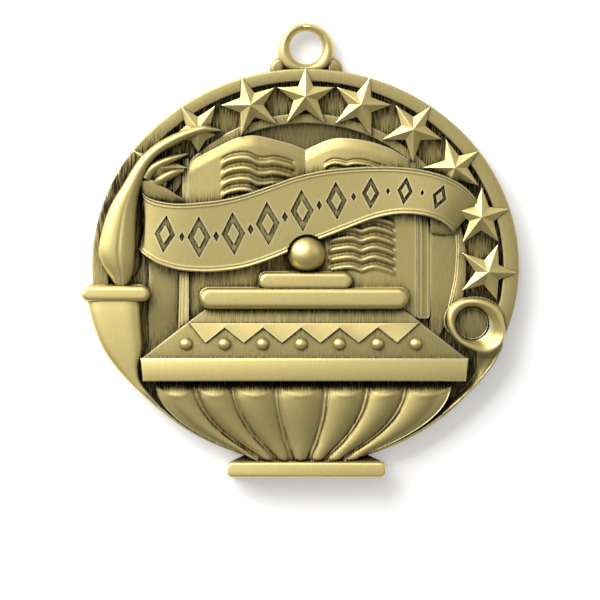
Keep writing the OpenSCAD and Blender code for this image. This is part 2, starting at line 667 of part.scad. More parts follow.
module foot() {
    color(brass) translate([foot_x, 0, 0]) {
        translate([0, foot_y, 0]) bevelled(foot_w, foot_w, foot_h, 0, foot_top, foot_bevel);
        relief([for (side = [-1, 1])
            [[side * (foot_w / 2 - over), foot_y + foot_h - 2 * over, foot_top - slope_drop],
            [side * foot_w / 2 * slope_share, foot_y + foot_h + foot_slope, slope_low]]], 0);
    }
}

module loop() {
    steps = 4;
    r = loop_round;
    color(brass) {
        translate([0, loop_y, loop_lift]) rotate_extrude($fn = 72) polygon(concat([[0, 0]],
            [for (k = [0:steps]) [loop_r - r + r * sin(90 * k / steps), r - r * cos(90 * k / steps)]],
            [for (k = [0:steps]) [loop_r - r + r * cos(90 * k / steps), loop_t - r + r * sin(90 * k / steps)]],
            [[0, loop_t]]));
        // Lugs beside the loop
        for (side = [0, 1])
            mirror([side, 0, 0]) translate([loop_r - lug_in, oval_h / 2 - lug_down, loop_lift - over])
                linear_extrude(lug_t) polygon([for (p = lug_outline) [p.x * lug_w, p.y * lug_h]]);
    }
}

// The hole through the loop, widened towards both faces
module loop_hole() {
    flare = (loop_t - hole_land) / 2 + over;
    translate([0, hole_y, loop_lift - over]) {
        cylinder(r = hole_r, h = loop_t + 2 * over, $fn = 72);
        cylinder(r1 = hole_r + flare, r2 = hole_r, h = flare, $fn = 72);
        translate([0, 0, loop_t + 2 * over - flare])
            cylinder(r1 = hole_r, r2 = hole_r + flare, h = flare, $fn = 72);
    }
}

module medallion() {
    difference() {
        union() {
            plate();
            rim();
            inner_band();
            stars();
            book();
            banner();
            flame();
            spout();
            handle();
            knob_and_bars();
            lid();
            rim_bar();
            bowl();
            foot();
            loop();
        }
        loop_hole();
    }
}

medallion();
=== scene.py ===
import math
import bmesh
import bpy
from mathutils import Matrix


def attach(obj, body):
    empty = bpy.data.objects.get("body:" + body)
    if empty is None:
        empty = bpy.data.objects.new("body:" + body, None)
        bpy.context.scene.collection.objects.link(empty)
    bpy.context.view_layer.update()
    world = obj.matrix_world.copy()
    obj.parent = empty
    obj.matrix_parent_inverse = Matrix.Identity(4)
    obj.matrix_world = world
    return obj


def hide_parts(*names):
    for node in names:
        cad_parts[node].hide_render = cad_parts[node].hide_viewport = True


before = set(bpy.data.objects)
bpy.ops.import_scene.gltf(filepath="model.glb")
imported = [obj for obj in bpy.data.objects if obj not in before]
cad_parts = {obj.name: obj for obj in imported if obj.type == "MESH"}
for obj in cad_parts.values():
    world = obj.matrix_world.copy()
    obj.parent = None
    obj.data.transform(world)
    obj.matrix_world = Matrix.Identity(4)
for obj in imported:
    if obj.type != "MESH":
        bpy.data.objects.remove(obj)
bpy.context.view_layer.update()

# the medal's forms are sized and placed in millimetres, and settle() brings each finished mesh to metres
mm = 0.001


# selecting and handling
def pick(piece):
    bpy.ops.object.select_all(action="DESELECT")
    piece.select_set(True)
    bpy.context.view_layer.objects.active = piece


def applyPlace():
    bpy.ops.object.transform_apply(location=True, rotation=True, scale=True)


def openMesh(piece, kind="VERT"):
    pick(piece)
    bpy.ops.object.mode_set(mode="EDIT")
    bpy.ops.mesh.select_mode(type=kind)
    bpy.ops.mesh.select_all(action="DESELECT")


def closeMesh():
    bpy.ops.object.mode_set(mode="OBJECT")


def choose(kind, test):
    # selects verts, edges or faces of the open mesh by their place
    bpy.ops.mesh.select_mode(type=kind)
    bpy.ops.mesh.select_all(action="DESELECT")
    cage = bmesh.from_edit_mesh(bpy.context.object.data)
    parts = {"VERT": cage.verts, "EDGE": cage.edges, "FACE": cage.faces}[kind]
    for part in parts:
        if test(part):
            part.select_set(True)
    cage.select_flush_mode()
    bmesh.update_edit_mesh(bpy.context.object.data)


def chooseAll():
    bpy.ops.mesh.select_all(action="SELECT")


def roundEdges(width, steps, **more):
    bpy.ops.mesh.bevel(offset=width, segments=steps, affect="EDGES", **more)


def edgeMid(edge):
    return (edge.verts[0].co + edge.verts[1].co) / 2


def upright(edge):
    return abs(edge.verts[0].co.z - edge.verts[1].co.z) > 0.1


def above(level):
    # a test for the edges that lie wholly above a level
    return lambda edge: min(vert.co.z for vert in edge.verts) > level


def atWall(edge):
    return any(abs(face.normal.z) < 0.4 for face in edge.link_faces)


def addBlock(low, high):
    # a block between two corners
    size = [b - a for a, b in zip(low, high)]
    middle = [(a + b) / 2 for a, b in zip(low, high)]
    bpy.ops.mesh.primitive_cube_add(size=1, location=middle, scale=size)
    applyPlace()
    return bpy.context.object


def copyPiece(piece):
    twin = piece.copy()
    twin.data = piece.data.copy()
    bpy.context.collection.objects.link(twin)
    return twin


def joinPieces(pieces):
    pick(pieces[0])
    for piece in pieces:
        piece.select_set(True)
    bpy.ops.object.join()
    return bpy.context.object


def settle(piece, name, finish, smooth=40):
    pick(piece)
    applyPlace()
    bpy.ops.object.mode_set(mode="EDIT")
    chooseAll()
    bpy.ops.mesh.remove_doubles(threshold=0.002)
    bpy.ops.mesh.normals_make_consistent(inside=False)
    bpy.ops.transform.resize(value=(mm, mm, mm), center_override=(0, 0, 0))
    closeMesh()
    bpy.ops.object.shade_smooth_by_angle(angle=math.radians(smooth))
    piece.name = name
    piece.data.name = name
    piece.data.materials.clear()
    piece.data.materials.append(finish)
    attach(piece, "root")
    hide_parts("medallion")


def smoothRow(table, t):
    # a row between the rows of a table, on a smooth curve through them
    place = min(max(t, 0), 1) * (len(table) - 1)
    k = min(int(place), len(table) - 2)
    f = place - k
    a, b, c, d = (table[min(max(k + step, 0), len(table) - 1)] for step in (-1, 0, 1, 2))
    return [0.5 * (2 * q + (r - p) * f + (2 * p - 5 * q + 4 * r - s) * f * f
                   + (3 * q - p - 3 * r + s) * f ** 3) for p, q, r, s in zip(a, b, c, d)]


def dome(share, power=2.4):
    # rounded height across a form, 0 at both edges and 1 in the middle
    return math.sqrt(max(0, 1 - abs(2 * share - 1) ** power))


def edgeStep(share):
    # brings the grid's lines closer together towards both edges
    return 0.5 - 0.5 * math.cos(math.pi * share)


def blend(a, b, t):
    return a + (b - a) * t


def fade(value, low, high):
    t = min(max((value - low) / (high - low), 0), 1)
    return t * t * (3 - 2 * t)


def hump(value, middle, width):
    # a smooth raised line, 1 high at its middle
    return math.exp(-((value - middle) / width) ** 2)


def castSheet(columns, rows, place, foot):
    # a grid laid over a relief, closed downwards to the level foot
    bpy.ops.mesh.primitive_grid_add(x_subdivisions=columns, y_subdivisions=rows, size=1)
    sheet = bpy.context.object
    for vert in sheet.data.vertices:
        vert.co = place(vert.co.x + 0.5, vert.co.y + 0.5)
    openMesh(sheet)
    chooseAll()
    bpy.ops.mesh.region_to_loop()
    bpy.ops.mesh.extrude_region_move()
    bpy.ops.transform.resize(value=(1, 1, 0), center_override=(0, 0, foot))
    bpy.ops.mesh.edge_face_add()
    chooseAll()
    bpy.ops.mesh.normals_make_consistent(inside=False)
    closeMesh()
    return sheet


def roundedBar(left, right, low, high, foot, top, roundness=0.9):
    # a lying bar: round ends first, then its long face rounded over
    bar = addBlock((left, low, foot), (right, high, top))
    half = (high - low) / 2
    openMesh(bar, "EDGE")
    choose("EDGE", upright)
    roundEdges(half * 0.97, 12)
    choose("EDGE", lambda e: min(e.verts[0].co.z, e.verts[1].co.z) > top - 0.01 and e.is_manifold
           and min(f.normal.z for f in e.link_faces) < 0.5)
    roundEdges(half * roundness, 7)
    closeMesh()
    return bar


def cutBall(middle, radius, segments, rings, level):
    # a ball without the part below a level
    bpy.ops.mesh.primitive_uv_sphere_add(segments=segments, ring_count=rings, radius=radius, location=middle)
    ball = bpy.context.object
    applyPlace()
    openMesh(ball)
    chooseAll()
    bpy.ops.mesh.bisect(plane_co=(0, 0, level), plane_no=(0, 0, 1), use_fill=True, clear_inner=True)
    closeMesh()
    return ball


# finishes
finishes = {
    "gold": (0.8, 0.66, 0.27),
    # pale metal where edges are rubbing bare, which also serves as a painted highlight there
    "paleRubbedAndHighlight": (1.0, 0.94, 0.62),
    "patina": (0.038, 0.031, 0.019),
    # how fine the upright patterns are across, up and into the metal, and how fine the even grain is
    "marks": (9000, 900),
    "streaks": (7500, 480),
    "inwards": 500,
    "grain": 7000,
    # noise at which a dark streak starts, and how fast it darkens
    "streakFrom": 0.33, "streakGain": 3.2,
    # patina that lies everywhere, and how much grain and brush marks vary it
    "thinCoat": 0.07, "grainShare": 0.26, "markShare": 0.5,
    # how much duller patina is than metal, and how much the fine patterns add to that
    "patinaDull": 0.3, "fineDull": 0.3,
    # how wide the rubbing on edges reaches, which also paints a highlight along them, and how deep the brush
    # marks go, in metres
    "rubbedHighlightReach": 0.00035, "brushDepth": 0.00002,
    # darker patch on the rim beside the flame, in metres
    "poolMiddle": (-0.0275, 0.011, 0.003), "poolReach": 0.013,
    # for each kind, in order: how bright the open metal is, partly its patina and partly painted light and
    # shade, higher on parts the lamps light and lower on parts turned from them; depth: patina held in
    # recesses; streaked: how much of it is in lines; brush: strength of the brushing; reach: how far from a
    # wall the patina comes;
    # dull: the metal's roughness; how strongly edges show rubbing and a painted highlight; pool: darkening
    # added in the darker patch
    "columns": ("patinaAndLightTone", "depth", "streaked", "brush", "reach", "dull", "wearAndHighlight", "pool"),
    "kinds": {
        # the first kind is brighter than the metal's own colour, a painted highlight on lit raised parts such
        # as the mouth ring, spout, foot face, knob and studs; the lower kinds are darker partly as painted
        # shade besides their patina
        "polishedAndLitBrass": (1.22, 1.4, 0.2, 0.25, 0.0011, 0.45, 1.3, 0),
        "smoothBrass": (1.02, 2.0, 0.35, 0.3, 0.0015, 0.46, 1.3, 0),
        "pageBrass": (0.83, 1.7, 0.45, 0.4, 0.002, 0.47, 1.3, 0),
        "bowlBrass": (0.72, 2.0, 0.6, 0.5, 0.002, 0.5, 0.8, 0),
        "rimBrass": (0.72, 1.0, 0.7, 0.8, 0.0018, 0.45, 1.3, 0.85),
        "brushedBrass": (0.5, 1.4, 0.7, 0.8, 0.0028, 0.45, 0.55, 0),
        # as brushedBrass, with stronger rubbing and painted highlight on its sloping edges
        "lidBrass": (0.5, 1.4, 0.7, 0.8, 0.0028, 0.45, 1.3, 0),
        "channelBrass": (0.62, 1.2, 0.9, 0.9, 0.0022, 0.45, 1.3, 0),
        "recessBrass": (0.36, 0.9, 0.9, 0.9, 0.0038, 0.45, 1.3, 0),
    },
}


def newGroup(name, inputs, outputs):
    # inputs and outputs name their sockets under each kind of socket
    group = bpy.data.node_groups.new(name, "ShaderNodeTree")
    for side, sockets in (("INPUT", inputs), ("OUTPUT", outputs)):
        for kind, labels in sockets.items():
            for label in labels:
                group.interface.new_socket(name=label, in_out=side, socket_type="NodeSocket" + kind)
    return group, group.nodes.new("NodeGroupInput"), group.nodes.new("NodeGroupOutput")


def feed(tree, socket, value):
    if isinstance(value, bpy.types.NodeSocket):
        tree.links.new(value, socket)
    else:
        socket.default_value = value


def mathNode(tree, operation, first, second, clamp=False):
    node = tree.nodes.new("ShaderNodeMath")
    node.operation = operation
    node.use_clamp = clamp
    feed(tree, node.inputs[0], first)
    feed(tree, node.inputs[1], second)
    return node.outputs[0]


def mixColour(tree, factor, first, second):
    node = tree.nodes.new("ShaderNodeMix")
    node.data_type = "RGBA"
    feed(tree, node.inputs[0], factor)
    feed(tree, node.inputs[6], first)
    feed(tree, node.inputs[7], second)
    return node.outputs[2]


# fine upright brushing, long thin marks that lie along the medal's height, and an even cast grain
brushing, start, end = newGroup(
    "uprightBrushing", {"Vector": ["Vector"]}, {"Float": ["Marks", "Streaks", "Grain"]})
for label, spread, detail in (("Marks", (*finishes["marks"], finishes["inwards"]), 3),
                              ("Streaks", (*finishes["streaks"], finishes["inwards"]), 2),
                              ("Grain", [finishes["grain"]] * 3, 2)):
    stretch = brushing.nodes.new("ShaderNodeMapping")
    stretch.inputs["Scale"].default_value = spread
    noise = brushing.nodes.new("ShaderNodeTexNoise")
    noise.inputs["Scale"].default_value = 1
    noise.inputs["Detail"].default_value = detail
    brushing.links.new(start.outputs["Vector"], stretch.inputs["Vector"])
    brushing.links.new(stretch.outputs["Vector"], noise.inputs["Vector"])
    brushing.links.new(noise.outputs["Fac"], end.inputs[label])

# dark patina that stays in the recesses and comes off the high edges by rubbing, where the pale metal also
# paints a highlight
ageing, start, end = newGroup(
    "antiquePatina",
    {"Float": ["Openness", "EdgeWearAndHighlight", "Streaks", "Marks", "Grain", "Depth", "Streaked", "Dullness"],
     "Color": ["Metal", "RubbedAndHighlight", "Dark"]},
    {"Color": ["Colour"], "Float": ["Roughness", "Height"]})
given = start.outputs
hidden = mathNode(ageing, "SUBTRACT", 0.95, given["Openness"], clamp=True)
hidden = mathNode(ageing, "MULTIPLY", hidden, given["Depth"])
line = mathNode(ageing, "SUBTRACT", given["Streaks"], finishes["streakFrom"])
line = mathNode(ageing, "MULTIPLY", line, finishes["streakGain"], clamp=True)
spread = mathNode(ageing, "SUBTRACT", mathNode(ageing, "MULTIPLY", line, 2), 1)
spread = mathNode(ageing, "MULTIPLY", spread, given["Streaked"])
inRecess = mathNode(ageing, "MULTIPLY", hidden, mathNode(ageing, "ADD", spread, 1))
fine = mathNode(ageing, "SUBTRACT", given["Grain"], 0.5)
fine = mathNode(ageing, "MULTIPLY", fine, finishes["grainShare"])
brushed = mathNode(ageing, "SUBTRACT", given["Marks"], 0.5)
markShare = mathNode(ageing, "MULTIPLY", given["Streaked"], finishes["markShare"])
uneven = mathNode(ageing, "ADD", fine, mathNode(ageing, "MULTIPLY", brushed, markShare))
held = mathNode(ageing, "ADD", inRecess, finishes["thinCoat"])
held = mathNode(ageing, "ADD", held, uneven, clamp=True)
# edges turn pale: rubbing and a painted highlight
rubbedAndHighlit = mixColour(ageing, given["EdgeWearAndHighlight"], given["Metal"], given["RubbedAndHighlight"])
duller = mathNode(ageing, "MULTIPLY", held, finishes["patinaDull"])
rough = mathNode(ageing, "ADD", given["Dullness"], duller)
results = {
    "Colour": mixColour(ageing, held, rubbedAndHighlit, given["Dark"]),
    "Roughness": mathNode(ageing, "ADD", rough, mathNode(ageing, "MULTIPLY", uneven, finishes["fineDull"])),
    "Height": mathNode(ageing, "ADD", given["Marks"], given["Grain"]),
}
for label, result in results.items():
    ageing.links.new(result, end.inputs[label])


def antiqueBrass(name):
    kind = dict(zip(finishes["columns"], finishes["kinds"][name]))
    finish = bpy.data.materials.new(name)
    finish.use_nodes = True
    tree = finish.node_tree
    shader = tree.nodes["Principled BSDF"]
    shader.inputs["Metallic"].default_value = 1
    place = tree.nodes.new("ShaderNodeTexCoord")
    marks = tree.nodes.new("ShaderNodeGroup")
    marks.node_tree = brushing
    tree.links.new(place.outputs["Object"], marks.inputs["Vector"])
    recess = tree.nodes.new("ShaderNodeAmbientOcclusion")
    recess.samples = 8
    recess.inputs["Distance"].default_value = kind["reach"]
    # sharp edges, found by looking inside the surface, get rubbing and a painted highlight
    ridge = tree.nodes.new("ShaderNodeAmbientOcclusion")
    ridge.samples = 6
    ridge.inside = True
    ridge.only_local = True
    ridge.inputs["Distance"].default_value = finishes["rubbedHighlightReach"]
    openness = recess.outputs["AO"]
    # darker patch: openness lowered near a point on the rim beside the flame
    if kind["pool"]:
        apart = tree.nodes.new("ShaderNodeVectorMath")
        apart.operation = "DISTANCE"
        apart.inputs[1].default_value = finishes["poolMiddle"]
        tree.links.new(place.outputs["Object"], apart.inputs[0])
        share = mathNode(tree, "DIVIDE", apart.outputs["Value"], finishes["poolReach"])
        inside = mathNode(tree, "SUBTRACT", 1, share, clamp=True)
        darker = mathNode(tree, "MULTIPLY", inside, kind["pool"])
        openness = mathNode(tree, "SUBTRACT", openness, darker, clamp=True)
    wornAndHighlit = mathNode(tree, "SUBTRACT", 1, ridge.outputs["AO"])
    wornAndHighlit = mathNode(tree, "MULTIPLY", wornAndHighlit, kind["wearAndHighlight"], clamp=True)
    patina = tree.nodes.new("ShaderNodeGroup")
    patina.node_tree = ageing
    tree.links.new(openness, patina.inputs["Openness"])
    tree.links.new(wornAndHighlit, patina.inputs["EdgeWearAndHighlight"])
    for label in ("Streaks", "Marks", "Grain"):
        tree.links.new(marks.outputs[label], patina.inputs[label])
    patina.inputs["Depth"].default_value = kind["depth"]
    patina.inputs["Streaked"].default_value = kind["streaked"]
    patina.inputs["Dullness"].default_value = kind["dull"]
    # the metal's colour scaled per kind: patina and painted light and shade together
    patina.inputs["Metal"].default_value = [part * kind["patinaAndLightTone"] for part in finishes["gold"]] + [1]
    patina.inputs["RubbedAndHighlight"].default_value = [*finishes["paleRubbedAndHighlight"], 1]
    patina.inputs["Dark"].default_value = [*finishes["patina"], 1]
    tree.links.new(patina.outputs["Colour"], shader.inputs["Base Color"])
    tree.links.new(patina.outputs["Roughness"], shader.inputs["Roughness"])
    bump = tree.nodes.new("ShaderNodeBump")
    bump.inputs["Strength"].default_value = kind["brush"]
    bump.inputs["Distance"].default_value = finishes["brushDepth"]
    tree.links.new(patina.outputs["Height"], bump.inputs["Height"])
    tree.links.new(bump.outputs["Normal"], shader.inputs["Normal"])
    return finish


(polishedAndLitBrass, smoothBrass, pageBrass, bowlBrass, rimBrass,
 brushedBrass, lidBrass, channelBrass, recessBrass) = (antiqueBrass(name) for name in finishes["kinds"])
print("finishes ready")

# oval body: plate, broad rim, thin lower edge and inner band
body = {
    "halfWidth": 29.74,
    "halfHeight": 27.49,
    "plate": 1.7,
    "plateIn": 0.05,
    "foot": 0.3,
    "rimTop": 3.4,
    "lowerIn": 0.5,
    "rimInner": (27.47, 25.69),
    "bandOuter": (22.46, 21.31),
    "bandInner": (21.15, 19.9),
    "bandTop": 2.6,
}


def ovalBand(outer, inner, foot, top, arc, softness, steps):
    # a flat section turned about the middle, then drawn out to the oval
    middle = (outer[0] + inner[0]) / 2
    bpy.ops.mesh.primitive_plane_add(size=1)
    band = bpy.context.object
    openMesh(band)
    chooseAll()
    bpy.ops.transform.resize(value=(outer[0] - inner[0], 1, 1), center_override=(0, 0, 0))
    for vert in bmesh.from_edit_mesh(band.data).verts:
        vert.co = (vert.co.x + middle, 0, foot if vert.co.y < 0 else top)
    choose("VERT", lambda v: v.co.z > top - 0.01)
    bpy.ops.mesh.bevel(offset=softness, segments=4, affect="VERTICES")
    chooseAll()
    if arc[1] - arc[0] >= 360:
        bpy.ops.mesh.delete(type="ONLY_FACE")
    cage = bmesh.from_edit_mesh(band.data)
    turn = math.radians(arc[0])
    for vert in cage.verts:
        vert.co = (vert.co.x * math.cos(turn), vert.co.x * math.sin(turn), vert.co.z)
    bmesh.update_edit_mesh(band.data)
    chooseAll()
    bpy.ops.mesh.spin(steps=steps, angle=math.radians(arc[0] - arc[1]), center=(0, 0, 0), axis=(0, 0, 1))
    chooseAll()
    bpy.ops.mesh.remove_doubles(threshold=0.001)
    closeMesh()
    for vert in band.data.vertices:
        reach = math.hypot(vert.co.x, vert.co.y)
        share = (reach - inner[0]) / (outer[0] - inner[0])
        vert.co.y *= blend(inner[1], outer[1], share) / reach
    return band


bpy.ops.mesh.primitive_cylinder_add(vertices=200, radius=1, depth=body["plate"],
                                    location=(0, 0, body["plate"] / 2))
plate = bpy.context.object
plate.scale = (body["halfWidth"] - body["plateIn"], body["halfHeight"] - body["plateIn"], 1)
applyPlace()
openMesh(plate, "FACE")
choose("FACE", lambda f: f.normal.z < -0.9)
bpy.ops.mesh.inset(thickness=0.35, depth=0)
choose("EDGE", lambda e: max(v.co.z for v in e.verts) < 0.01 and all(
    math.hypot(v.co.x / body["halfWidth"], v.co.y / body["halfHeight"]) > 0.995 for v in e.verts))
roundEdges(0.2, 3)
closeMesh()
settle(plate, "plate", recessBrass)

outerOval = (body["halfWidth"], body["halfHeight"])
lowerOval = [half - body["lowerIn"] for half in outerOval]
# outer and inner half sizes, foot, top, arc in degrees, softness of the upper edges, steps and finish
bands = {
    "rim": (outerOval, body["rimInner"], body["foot"], body["rimTop"], (-23, 203), 0.28, 150, rimBrass),
    "lowerEdge": (outerOval, lowerOval, body["foot"], body["rimTop"] - 0.1, (0, 360), 0.16, 200, smoothBrass),
    "channelFloor": (body["rimInner"], body["bandOuter"], 1.05, body["plate"] + 0.12, (-23, 190), 0.04, 130,
                     channelBrass),
    "innerBand": (body["bandOuter"], body["bandInner"], 1.0, body["bandTop"], (-24, 172), 0.2, 130, rimBrass),
}
for name, (*shape, finish) in bands.items():
    settle(ovalBand(*shape), name, finish)

# double line beside the right panel: left edge x and y, from the turned banner end down to the curl
edgeLine = {
    "rows": [[20.86, 4.35], [20.95, 3.0], [20.93, 1.5], [20.85, 0], [20.7, -1.5], [20.43, -3.0],
             [20.1, -4.5], [19.75, -6.0]],
    "wide": 0.8,
    "beads": (0.12, 0.42),
    "beadWide": 0.1,
    "rise": 0.11,
}


def linePlace(u, w):
    x, y = smoothRow(edgeLine["rows"], u)
    across = edgeLine["wide"] * w
    bead = max(hump(across, middle, edgeLine["beadWide"]) for middle in edgeLine["beads"])
    return (x + across, y, body["bandTop"] - 0.02 + edgeLine["rise"] * bead)


settle(castSheet(120, 32, linePlace, 0.95), "bandLine", polishedAndLitBrass, 60)
print("oval body done")

# stars
stars = {
    "count": 9,
    "radius": 3.95,
    "notch": 1.8,
    "edge": 3.6,
    "peak": 0.95,
    "first": 144.6,
    "step": 18.2,
    "inSide": 4.5,
    "inTop": 3.9,
    "ridgeSoftness": 0.07,
    "foot": 1.0,
    # what lies further out than this along a ray is its tip
    "tipFrom": 2.6,
    # ray lengths counted clockwise from the outward one, then the shorter rays of the first two stars
    "rays": (4.05, 4.15, 4.5, 4.5, 4.15),
    "trims": {0: {1: 1.85, 2: 4.1, 3: 3.1}, 1: {2: 2.5, 3: 3.15}},
    # how far single stars stand off the even spacing, as index: (x, y)
    "shifts": {2: (0.22, 0), 4: (-0.18, 0.05), 6: (0.2, 0), 7: (0.36, -0.2), 8: (0.18, -0.46)},
}
bpy.ops.mesh.primitive_circle_add(vertices=10, radius=stars["radius"], fill_type="NGON", location=(0, 0, 0))
star = bpy.context.object
openMesh(star)
firstTip = star.data.vertices[0].co.copy()
tipAngle = math.degrees(math.atan2(firstTip.y, firstTip.x))
choose("VERT", lambda v: round((math.degrees(math.atan2(v.co.y, v.co.x)) - tipAngle) / 36) % 2 == 1)
shrink = stars["notch"] / stars["radius"]
bpy.ops.transform.resize(value=(shrink, shrink, 1), center_override=(0, 0, 0))
chooseAll()
bpy.ops.transform.translate(value=(0, 0, stars["foot"]))
bpy.ops.mesh.extrude_region_move(TRANSFORM_OT_translate={"value": (0, 0, stars["edge"] - stars["foot"])})
choose("FACE", lambda f: f.calc_center_median().z > stars["edge"] - 0.01)
bpy.ops.mesh.poke(offset=stars["peak"])
choose("EDGE", above(stars["edge"] - 0.01))
roundEdges(stars["ridgeSoftness"], 2, clamp_overlap=True)
closeMesh()
for index in range(stars["count"]):
    angle = math.radians(stars["first"] - stars["step"] * index)
    twin = copyPiece(star)
    for ray, reach in enumerate(stars["rays"]):
        aim = math.radians(tipAngle - 72 * ray)
        openMesh(twin)
        choose("VERT", lambda v: v.co.x * math.cos(aim) + v.co.y * math.sin(aim) > stars["tipFrom"])
        back = stars["trims"].get(index, {}).get(ray, reach) - stars["radius"]
        bpy.ops.transform.translate(value=(back * math.cos(aim), back * math.sin(aim), 0))
        closeMesh()
    shift = stars["shifts"].get(index, (0, 0))
    twin.rotation_euler = (0, 0, angle - math.radians(tipAngle))
    twin.location = ((body["halfWidth"] - stars["inSide"]) * math.cos(angle) + shift[0],
                     (body["halfHeight"] - stars["inTop"]) * math.sin(angle) + shift[1], 0)
    settle(twin, f"star{index + 1}", smoothBrass, 12)
bpy.data.objects.remove(star)
print("stars done")

# hanging loop and its lugs
loop = {
    "middle": (0.08, 30.22),
    "ring": 3.12,
    "wire": 0.82,
    "lift": 1.6,
    "tall": 1.1,
    # how far the outer and the inner half of the ring are moved along the medal's height
    "offset": (-0.22, 0.26),
}
bpy.ops.mesh.primitive_torus_add(major_segments=96, minor_segments=28, major_radius=loop["ring"],
                                 minor_radius=loop["wire"], location=(*loop["middle"], loop["lift"]))
ring = bpy.context.object
applyPlace()
openMesh(ring)
chooseAll()
bpy.ops.transform.resize(value=(1, 1, loop["tall"] / loop["wire"]),
                         center_override=(*loop["middle"], loop["lift"]))
for side, offset in zip((1, -1), loop["offset"]):
    choose("VERT", lambda v: side * (math.hypot(v.co.x, v.co.y - loop["middle"][1]) - loop["ring"]) > 0.01)
    bpy.ops.transform.translate(value=(0, offset, 0))
closeMesh()
settle(ring, "hangingLoop", smoothBrass)

lugs = {
    "low": 26.2,
    "z": (0.4, 2.25),
    "outerRound": 1.1,
    "topRound": 0.6,
    # inner and outer x, top y
    "sides": {"leftLug": (-2.9, -5.0, 29.05), "rightLug": (2.9, 5.15, 29.0)},
}
for name, (inner, outer, high) in lugs["sides"].items():
    block = addBlock((min(inner, outer), lugs["low"], lugs["z"][0]), (max(inner, outer), high, lugs["z"][1]))
    openMesh(block)
    choose("EDGE", lambda e: abs(edgeMid(e).x - outer) < 0.01 and edgeMid(e).y > high - 0.01
           and upright(e))
    roundEdges(lugs["outerRound"], 5, profile=0.4)
    choose("EDGE", above(lugs["z"][1] - 0.01))
    roundEdges(lugs["topRound"], 5)
    closeMesh()
    settle(block, name, rimBrass, 60)
print("hanging loop done")

# book
book = {
    "bottom": -7.6,
    "height": 23.8,
    "width": (16.45, 16.2),
    "arch": 2.0,
    "crown": 1.0,
    "low": 2.4,
    "roll": 0.32,
    # how much deeper the left page lies beside the lamp, and between which heights that fades
    "lampDip": (0.7, -1.0, 5.0),
    # share of width, share of arch, share of crown, from the fold outwards
    "left": [[0, 0, 0], [0.13, 0.43, 0.35], [0.26, 0.7, 0.68], [0.36, 0.9, 0.88], [0.45, 1, 1],
             [0.55, 0.9, 0.98], [0.64, 0.65, 0.92], [0.75, 0.2, 0.84], [0.87, -0.3, 0.74], [1, -0.95, 0.62]],
    "right": [[0, 0, 0], [0.09, 0.35, 0.35], [0.18, 0.65, 0.66], [0.26, 0.8, 0.86], [0.35, 0.8, 0.98],
              [0.45, 0.72, 1], [0.56, 0.55, 0.95], [0.66, 0.3, 0.87], [0.74, 0.05, 0.8], [0.82, -0.35, 0.72],
              [0.9, -0.7, 0.64], [0.95, -0.95, 0.6]],
    # wavy lines on the pages: ends, top at the first crest, rise, distance and number,
    # and how far they fall at every tenth of the way
    "lines": [
        {"x": (-11.9, -1.4), "y": 16.05, "rise": 0.34, "pitch": 1.47, "count": 5,
         "wave": [[-0.95], [-0.38], [-0.1], [0], [-0.15], [-0.65], [-0.72], [-0.58], [-0.72], [-1.0],
                  [-1.35]]},
        {"x": (2.4, 10.8), "y": 15.1, "rise": 0.26, "pitch": 1.1, "count": 2,
         "wave": [[-0.7], [-0.2], [0], [-0.1], [-0.3], [-0.1], [-0.1], [-0.2], [-0.4], [-0.7], [-0.9]]},
        {"x": (3.0, 12.6), "y": 7.5, "rise": 0.3, "pitch": 1.35, "count": 6,
         "wave": [[-0.5], [-0.28], [-0.12], [0], [-0.1], [-0.44], [-0.14], [0], [-0.2], [-0.52], [-0.95]]},
    ],
    # share of the distance that is groove, its depth, and the small ridge in its middle: height and width
    "groove": (0.34, 0.7), "ridge": (0.2, 0.07),
}


def textLines(x, y, block):
    # height of the wavy lines at a point of a page
    left, right = block["x"]
    inside = fade(x, left, left + 0.7) * (1 - fade(x, right - 0.6, right))
    drop = block["y"] + smoothRow(block["wave"], (x - left) / (right - left))[0] - y
    if drop < 0 or drop > block["pitch"] * block["count"]:
        return 0
    phase = (drop % block["pitch"]) / block["pitch"]
    wide, deep = book["groove"]
    if phase > wide:
        return inside * block["rise"] * math.sin(math.pi * (phase - wide) / (1 - wide)) ** 0.8
    ridge, ridgeWide = book["ridge"]
    groove = -deep * math.sin(math.pi * phase / wide) + ridge * hump(phase, wide / 2, ridgeWide)
    return inside * block["rise"] * groove


def pagePlace(side, table, width):
    def place(u, w):
        share, arch, crown = smoothRow(table, u)
        x = side * share * width
        top = book["bottom"] + book["height"] + arch * book["arch"]
        y = blend(book["bottom"], top, w)
        z = book["low"] + crown * book["crown"] - book["roll"] * (1 - fade(top - y, -0.4, 1.7))
        if side < 0:
            dip, low, high = book["lampDip"]
            z -= dip * (1 - fade(y, low, high))
        z += sum(textLines(x, y, block) for block in book["lines"])
        return (x, y, z)
    return place


settle(castSheet(130, 220, pagePlace(-1, book["left"], book["width"][0]), 1.1), "leftPage", pageBrass, 50)
settle(castSheet(130, 220, pagePlace(1, book["right"], book["width"][1]), 1.0), "rightPage", pageBrass, 50)

